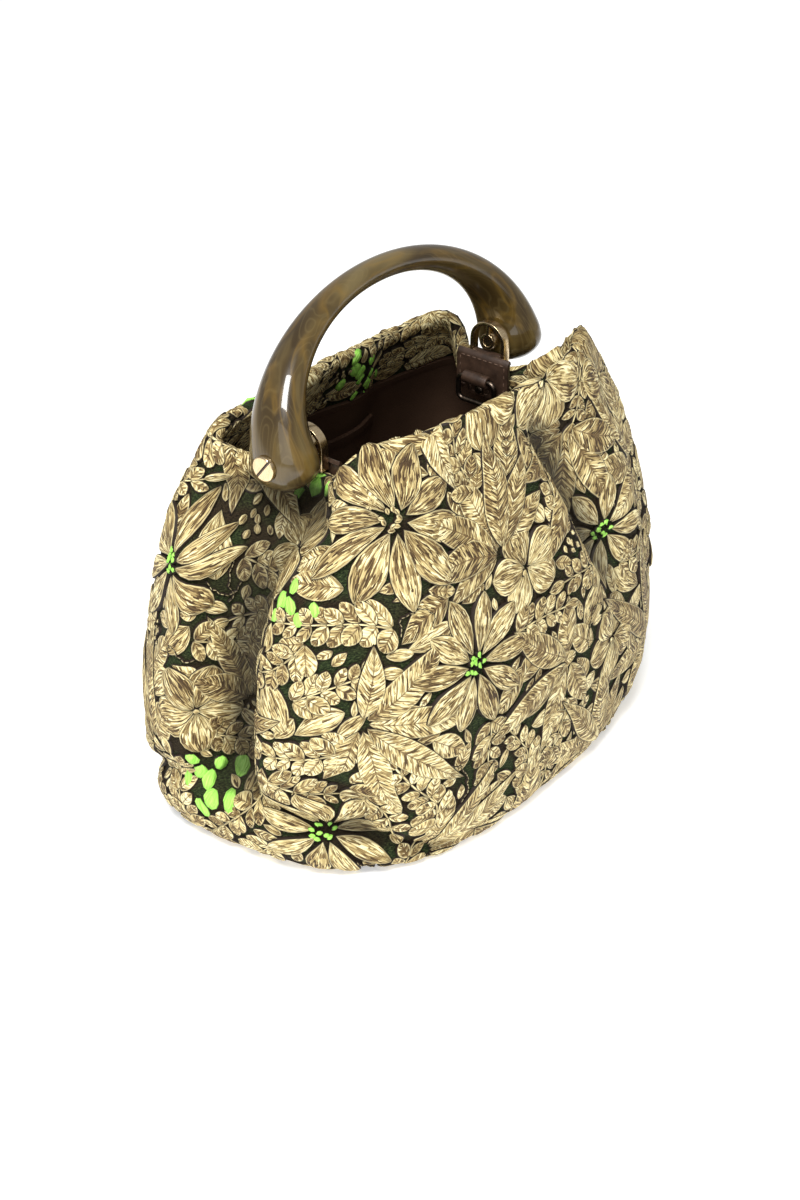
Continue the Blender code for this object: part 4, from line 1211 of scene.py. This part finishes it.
def tab_stitches(side, look):
    """The seams on one handle tab and its strap tab."""
    half = TAB_WIDTH / 2 - STITCH_INSET
    foot = -RING_DROP - TAB_LENGTH + STITCH_INSET
    top = -RING_DROP + 0.0005
    hidden = STRAP_TAB_WIDTH / 2 + STITCH_INSET
    seams = stitch_line((-half, foot), (-half, top)) + stitch_line((half, foot), (half, top))
    seams += stitch_line((-half, top), (half, top))
    seams += stitch_line((-half, foot), (-hidden, foot)) + stitch_line((hidden, foot), (half, foot))
    rows = [(FACE_X - LEATHER / 2, point, turn) for point, turn in seams]
    small = STRAP_TAB_WIDTH / 2 - 0.0014
    low = -STRAP_BAR_DROP - STRAP_TAB_LENGTH + 0.0014
    high = -STRAP_BAR_DROP - 0.0035
    for seam in (((-small, low), (-small, high)), ((small, low), (small, high)), ((-small, low), (small, low))):
        rows += [(STRAP_TAIL_X - LOOP_LEATHER / 2, point, turn) for point, turn in stitch_line(*seam)]
    name = f"tab_stitches_{SIDE_NAMES[side]}"
    mesh = bpy.data.meshes.new(name)
    mesh.from_pydata([(side * x, SEAM_Y + point.x, PIN_HEIGHT + point.y) for x, point, _ in rows], [], [])
    layer = mesh.attributes.new("turn", "FLOAT_VECTOR", "POINT")
    layer.data.foreach_set("vector", np.array([turn for _, _, turn in rows], dtype=np.float32).ravel())
    made = new_object(name, mesh)
    modifier = made.modifiers.new("stitches", "NODES")
    modifier.node_group = stitch_tree(look)
    set_input(modifier, "Stitch length", STITCH_LENGTH)
    set_input(modifier, "Thread radius", STITCH_RADIUS)
    finished = plain_mesh(made, name)
    made.modifiers.clear()
    made.data = finished
    return settle(made, Matrix.Identity(4), 60.0)


# Materials

def new_material(name, roughness, metallic=0.0):
    """A material, its tree and its shader."""
    made = bpy.data.materials.new(name)
    made.use_nodes = True
    shader = made.node_tree.nodes["Principled BSDF"]
    shader.inputs["Roughness"].default_value = roughness
    shader.inputs["Metallic"].default_value = metallic
    return made, made.node_tree, shader


def ramp(tree, source, stops):
    """A colour ramp over a value."""
    made = tree.nodes.new("ShaderNodeValToRGB")
    bar = made.color_ramp
    while len(bar.elements) < len(stops):
        bar.elements.new(0.5)
    for element, (place, color) in zip(bar.elements, stops):
        element.position = place
        element.color = (*color, 1.0)
    tree.links.new(source, made.inputs["Fac"])
    return made.outputs["Color"]


def math_node(tree, operation, first, second=None, third=None):
    """A math node on sockets or numbers."""
    made = tree.nodes.new("ShaderNodeMath")
    made.operation = operation
    for index, value in enumerate((first, second, third)):
        if value is None:
            continue
        if isinstance(value, (int, float)):
            made.inputs[index].default_value = value
        else:
            tree.links.new(value, made.inputs[index])
    return made.outputs[0]


def mixed(tree, factor, first, second, blend="MIX"):
    """Two colours mixed."""
    made = tree.nodes.new("ShaderNodeMix")
    made.data_type = "RGBA"
    made.blend_type = blend
    sockets = [made.inputs["Factor"], made.inputs[6], made.inputs[7]]
    for socket, value in zip(sockets, (factor, first, second)):
        if isinstance(value, (int, float)):
            socket.default_value = value
        elif isinstance(value, tuple):
            socket.default_value = (*value, 1.0)
        else:
            tree.links.new(value, socket)
    return made.outputs[2]


def scaled_uv(tree, name, scale, turn=0.0):
    """A UV map scaled and turned."""
    uv = tree.nodes.new("ShaderNodeUVMap")
    uv.uv_map = name
    place = tree.nodes.new("ShaderNodeMapping")
    place.inputs["Scale"].default_value = (*scale, 1.0)
    place.inputs["Rotation"].default_value = (0.0, 0.0, turn)
    tree.links.new(uv.outputs["UV"], place.inputs["Vector"])
    return place.outputs["Vector"]


def noise(tree, vector, scale=1.0, detail=2.0, roughness=0.5, distortion=0.0):
    """Noise over a vector."""
    made = tree.nodes.new("ShaderNodeTexNoise")
    made.inputs["Scale"].default_value = scale
    made.inputs["Detail"].default_value = detail
    made.inputs["Roughness"].default_value = roughness
    made.inputs["Distortion"].default_value = distortion
    tree.links.new(vector, made.inputs["Vector"])
    return made.outputs["Fac"]


def bump(tree, shader, height, distance, strength=1.0):
    """Bump from a height onto a shader."""
    made = tree.nodes.new("ShaderNodeBump")
    made.inputs["Strength"].default_value = strength
    made.inputs["Distance"].default_value = distance
    tree.links.new(height, made.inputs["Height"])
    tree.links.new(made.outputs["Normal"], shader.inputs["Normal"])


def attribute(tree, name):
    """A value kept on the mesh."""
    made = tree.nodes.new("ShaderNodeAttribute")
    made.attribute_name = name
    return made.outputs["Fac"]


def stitches_of(tree, vector):
    """A random value for each short float of thread, and how far a place lies from its middle."""
    made = tree.nodes.new("ShaderNodeTexVoronoi")
    made.inputs["Scale"].default_value = 1.0
    tree.links.new(vector, made.inputs["Vector"])
    split = tree.nodes.new("ShaderNodeSeparateColor")
    tree.links.new(made.outputs["Color"], split.inputs["Color"])
    return split.outputs["Red"], made.outputs["Distance"]


def painted_fold_shade(tree, color, most):
    """A colour with painted shade: mixed towards dark brown the deeper the cloth lies in its folds."""
    depth = ramp(tree, math_node(tree, "MULTIPLY_ADD", attribute(tree, "hollow"), 0.13, 0.2), [
        (0.24, (0, 0, 0)), (0.46, (0.55 * most,) * 3), (0.88, (most,) * 3)])
    # The dark brown that the painted shade in the folds mixes towards.
    return mixed(tree, depth, color, (0.012, 0.009, 0.004))


def raised_thread():
    """Straw and tan floats over padding: threads, a pale edge, and dark edging that is partly the motifs' own dark
    thread and partly painted shade on each leaf's steep side, with painted shade in the folds.
    """
    made, tree, shader = new_material("raised_thread", 0.66)
    shader.inputs["Specular IOR Level"].default_value = 0.3
    rim = attribute(tree, "rim")
    rib = attribute(tree, "rib")
    stitch, apart = stitches_of(tree, scaled_uv(tree, "thread", (300.0, 1900.0)))
    floats = noise(tree, scaled_uv(tree, "thread", (120.0, 1400.0)), 1.0, 2.0, 0.6, 0.2)
    patches = noise(tree, scaled_uv(tree, "thread", (60.0, 90.0)), 1.0, 1.0, 0.5)
    value = math_node(tree, "MULTIPLY_ADD", stitch, 0.30, math_node(tree, "MULTIPLY", floats, 0.40))
    value = math_node(tree, "MULTIPLY_ADD", patches, 0.26, value)
    value = math_node(tree, "MULTIPLY_ADD", attribute(tree, "tone"), 0.034, value)
    color = ramp(tree, value, [
        (0.33, (0.055, 0.030, 0.010)), (0.41, (0.18, 0.115, 0.040)), (0.49, (0.42, 0.31, 0.125)),
        (0.56, (0.72, 0.58, 0.27)), (0.64, (1.0, 0.90, 0.53))])
    pale = ramp(tree, math_node(tree, "MULTIPLY", rim, 0.4), [
        (0.26, (0.45, 0.45, 0.45)), (0.48, (0, 0, 0))])
    color = mixed(tree, pale, color, (0.95, 0.82, 0.44))
    midrib = ramp(tree, rib, [(0.15, (0.75, 0.75, 0.75)), (0.40, (0, 0, 0))])
    color = mixed(tree, midrib, color, (0.13, 0.075, 0.026))
    neon = ramp(tree, floats, [(0.3, (0.27, 0.74, 0.07)), (0.7, (0.56, 1.0, 0.20))])
    color = mixed(tree, attribute(tree, "green"), color, neon)
    # Dark edging: partly the leaves' own dark edging thread, partly painted shade down each leaf's steep side wall.
    edging_and_side_shade = ramp(tree, rim, [(0.36, (1, 1, 1)), (0.62, (0, 0, 0))])
    color = mixed(tree, edging_and_side_shade, color, (0.018, 0.010, 0.005))
    # Painted shade: the thread is up to 85 per cent darker deep in the folds.
    color = painted_fold_shade(tree, color, 0.85)
    tree.links.new(color, shader.inputs["Base Color"])
    relief = math_node(tree, "MULTIPLY_ADD", apart, -0.5, value)
    bump(tree, shader, relief, 0.0007, 1.0)
    return made


def ground_weave():
    """Dark green and brown twill between the raised parts."""
    made, tree, shader = new_material("ground_weave", 0.9)
    shader.inputs["Specular IOR Level"].default_value = 0.15
    twill = noise(tree, scaled_uv(tree, "cloth", (700.0, 2200.0), 0.8), 1.0, 1.0, 0.6)
    fine = noise(tree, scaled_uv(tree, "cloth", (1300.0, 1300.0)), 1.0, 2.0, 0.6)
    wide = noise(tree, scaled_uv(tree, "cloth", (60.0, 60.0)), 1.0, 1.0)
    both = math_node(tree, "MULTIPLY_ADD", twill, 0.55, math_node(tree, "MULTIPLY", fine, 0.45))
    shade = ramp(tree, both, [(0.36, (0.004, 0.006, 0.003)), (0.52, (0.020, 0.030, 0.010)),
                              (0.66, (0.058, 0.080, 0.028))])
    brown = ramp(tree, both, [(0.36, (0.006, 0.004, 0.002)), (0.66, (0.040, 0.028, 0.014))])
    color = mixed(tree, ramp(tree, wide, [(0.42, (0, 0, 0)), (0.60, (1, 1, 1))]), shade, brown)
    # Painted shade: the ground is up to 60 per cent darker deep in the folds.
    tree.links.new(painted_fold_shade(tree, color, 0.6), shader.inputs["Base Color"])
    bump(tree, shader, both, 0.0004, 0.8)
    return made


def place_on(tree, scale):
    """Object coordinates scaled by axis."""
    read = tree.nodes.new("ShaderNodeTexCoord")
    place = tree.nodes.new("ShaderNodeMapping")
    place.inputs["Scale"].default_value = scale
    tree.links.new(read.outputs["Object"], place.inputs["Vector"])
    return place.outputs["Vector"]


def marbled_resin():
    """Olive brown cast resin with smoky veils, amber swirls and a polished skin."""
    made, tree, shader = new_material("marbled_resin", 0.30)
    shader.inputs["Coat Weight"].default_value = 0.8
    shader.inputs["Coat Roughness"].default_value = 0.03
    shader.inputs["Coat IOR"].default_value = 1.45
    shader.inputs["Specular IOR Level"].default_value = 0.2
    read = tree.nodes.new("ShaderNodeAttribute")
    read.attribute_name = "arch"
    turned = tree.nodes.new("ShaderNodeMapping")
    turned.inputs["Scale"].default_value = (15.0, 48.0, 48.0)
    turned.inputs["Rotation"].default_value = (0.2, 0.1, 0.15)
    tree.links.new(read.outputs["Vector"], turned.inputs["Vector"])
    flow = turned.outputs["Vector"]
    veil = noise(tree, flow, 1.0, 2.0, 0.5, 1.2)
    swirl = noise(tree, flow, 1.4, 1.0, 0.4, 1.6)
    wisps = noise(tree, flow, 1.1, 1.0, 0.5, 2.4)
    color = ramp(tree, veil, [
        (0.28, (0.018, 0.010, 0.003)), (0.44, (0.048, 0.030, 0.009)), (0.58, (0.086, 0.058, 0.018)),
        (0.72, (0.120, 0.088, 0.034))])
    rings = math_node(tree, "FRACT", math_node(tree, "MULTIPLY", swirl, 9.0))
    pale = ramp(tree, rings, [(0.30, (0, 0, 0)), (0.50, (0.20, 0.20, 0.20)), (0.70, (0, 0, 0))])
    color = mixed(tree, pale, color, (0.17, 0.125, 0.05))
    amber = ramp(tree, wisps, [(0.50, (0, 0, 0)), (0.58, (0.30, 0.30, 0.30)), (0.66, (0, 0, 0))])
    color = mixed(tree, amber, color, (0.21, 0.120, 0.018))
    tree.links.new(color, shader.inputs["Base Color"])
    return made


def polished_metal(name, light, dark, roughness):
    """Plated metal with faint brushing."""
    made, tree, shader = new_material(name, roughness, 1.0)
    brushed = noise(tree, place_on(tree, (700.0, 2600.0, 700.0)), 1.0, 2.0, 0.6)
    tree.links.new(ramp(tree, brushed, [(0.35, dark), (0.65, light)]), shader.inputs["Base Color"])
    bump(tree, shader, brushed, 0.00004, 0.5)
    return made


def tab_leather():
    """Dark brown smooth leather with a fine grain."""
    made, tree, shader = new_material("tab_leather", 0.38)
    shader.inputs["Coat Weight"].default_value = 0.15
    shader.inputs["Coat Roughness"].default_value = 0.3
    cells = tree.nodes.new("ShaderNodeTexVoronoi")
    cells.inputs["Scale"].default_value = 1400.0
    tree.links.new(place_on(tree, (1.0, 1.0, 1.0)), cells.inputs["Vector"])
    cloud = noise(tree, place_on(tree, (160.0, 160.0, 160.0)), 1.0, 3.0, 0.6)
    tree.links.new(ramp(tree, cloud, [(0.35, (0.024, 0.013, 0.008)), (0.65, (0.058, 0.032, 0.020))]),
                   shader.inputs["Base Color"])
    bump(tree, shader, cells.outputs["Distance"], 0.00008, 0.6)
    return made


def stitch_thread():
    """Waxed brown thread."""
    made, tree, shader = new_material("stitch_thread", 0.6)
    twist = noise(tree, place_on(tree, (3000.0, 3000.0, 1200.0)), 1.0, 1.0)
    tree.links.new(ramp(tree, twist, [(0.35, (0.05, 0.026, 0.016)), (0.65, (0.15, 0.088, 0.055))]),
                   shader.inputs["Base Color"])
    return made


def lining_cloth():
    """Dark brown close cloth."""
    made, tree, shader = new_material("lining_cloth", 0.75)
    shader.inputs["Specular IOR Level"].default_value = 0.25
    weave = noise(tree, scaled_uv(tree, "cloth", (2600.0, 900.0)), 1.0, 1.0, 0.5)
    cloud = noise(tree, scaled_uv(tree, "cloth", (30.0, 30.0)), 1.0, 2.0, 0.5)
    both = math_node(tree, "MULTIPLY_ADD", weave, 0.4, math_node(tree, "MULTIPLY", cloud, 0.6))
    tree.links.new(ramp(tree, both, [(0.35, (0.062, 0.032, 0.018)), (0.65, (0.115, 0.064, 0.038))]),
                   shader.inputs["Base Color"])
    bump(tree, shader, weave, 0.0001, 0.5)
    return made


# Camera, light and floor

def add_camera():
    """The photograph's view."""
    made = bpy.data.cameras.new("camera")
    made.lens = 62.33
    made.sensor_width = 36.0
    made.clip_start = 0.01
    camera = new_object("camera", made)
    right = Vector((0.61566148, -0.78801075, 0.0))
    up = Vector((0.41735324, 0.32607209, 0.84822949))
    back = Vector((-0.66841396, -0.52222222, 0.52962886))
    turn = Matrix((right, up, back)).transposed().to_4x4()
    camera.matrix_world = Matrix.Translation((-0.60855, -0.46992, 0.54963)) @ turn
    bpy.context.scene.camera = camera


def area_light(name, place, aim, size, power):
    """A square area light that points at a place."""
    made = bpy.data.lights.new(name, "AREA")
    made.size = size
    made.energy = power
    light = new_object(name, made)
    light.location = place
    light.rotation_mode = "QUATERNION"
    light.rotation_quaternion = (Vector(aim) - Vector(place)).to_track_quat("-Z", "Y")


def add_studio():
    """A near white floor and soft light."""
    bm = bmesh.new()
    bmesh.ops.create_grid(bm, x_segments=1, y_segments=1, size=4.0)
    mesh = bpy.data.meshes.new("floor")
    bm.to_mesh(mesh)
    bm.free()
    made, _, shader = new_material("white_floor", 0.9)
    shader.inputs["Base Color"].default_value = (0.93, 0.93, 0.93, 1.0)
    shader.inputs["Emission Color"].default_value = (1.0, 1.0, 1.0, 1.0)
    shader.inputs["Emission Strength"].default_value = 0.42
    mesh.materials.append(made)
    floor = new_object("floor", mesh)
    world = bpy.data.worlds.new("studio")
    world.use_nodes = True
    world.node_tree.nodes["Background"].inputs["Color"].default_value = (1.0, 1.0, 1.0, 1.0)
    world.node_tree.nodes["Background"].inputs["Strength"].default_value = 0.40
    bpy.context.scene.world = world
    area_light("key", (-0.65, -0.30, 1.40), (0.0, 0.0, 0.08), 0.55, 27.0)
    area_light("fill", (-1.15, -0.45, 0.6), (0.0, 0.0, 0.08), 0.8, 3.5)
    bpy.context.scene.view_settings.view_transform = "Standard"


def finish_piece(made, body, node):
    """Let a piece move with a body and stand for a CAD node, which it hides."""
    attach(made, body)
    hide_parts(node)


def dress_cloth():
    """The brocade's ground and raised leaves, the lining and its pocket."""
    shell = Shell()
    layout = Layout(shell)
    layout.fill()
    thread = raised_thread()
    weave = ground_weave()
    leaves = bpy.data.collections.new("leaves")
    for shape in OUTLINES:
        leaves.objects.link(bpy.data.objects.new(f"leaf_{shape}", leaf_mesh(shape)))
    for name, first in (("front", 0), ("back", SHELL_COLUMNS // 2)):
        finish_piece(ground_panel(f"{name}_ground", shell, first, weave), "bag", f"{name}_panel")
        raised = raised_brocade(f"{name}_raised", layout, name == "front", thread, leaves)
        finish_piece(raised, "bag", f"{name}_panel")
    cloth = lining_cloth()
    finish_piece(lining_piece(shell, cloth), "bag", "lining")
    finish_piece(pocket_piece(shell, cloth), "bag", "slip_pocket")


def dress_handle():
    """The handle, its screws and rings, and the leather that holds them."""
    gold = polished_metal("pale_gold", (0.80, 0.64, 0.40), (0.66, 0.50, 0.29), 0.24)
    dark = polished_metal("antique_metal", (0.15, 0.12, 0.09), (0.07, 0.05, 0.04), 0.32)
    leather = tab_leather()
    waxed = stitch_thread()
    finish_piece(handle_piece(marbled_resin()), "handle", "handle")
    for side, word in SIDE_NAMES.items():
        # The dark metal also paints shade in each screw's slot.
        finish_piece(screw_piece(side, gold, dark), "bag", f"handle_screw_{word}")
        ring = eased_copy(f"handle_ring_{word}", f"d_ring_{word}", gold, 0.00025)
        finish_piece(ring, "bag", f"handle_ring_{word}")
        tab = eased_copy(f"handle_tab_{word}", f"tab_leather_{word}", leather, 0.00035)
        finish_piece(tab, "bag", f"handle_tab_{word}")
        loop = eased_copy(f"strap_tab_{word}", f"strap_leather_{word}", leather, 0.00028)
        finish_piece(loop, "bag", f"strap_tab_{word}")
        finish_piece(tab_stitches(side, waxed), "bag", f"handle_tab_{word}")
        finish_piece(rivet_piece(side, dark), "bag", f"strap_rivet_{word}")
        finish_piece(strap_ring_piece(side, dark), f"strap_ring_{word}", f"strap_ring_{word}")


def main():
    """Load the part, dress it and light it."""
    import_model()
    dress_cloth()
    dress_handle()
    add_camera()
    add_studio()


main()
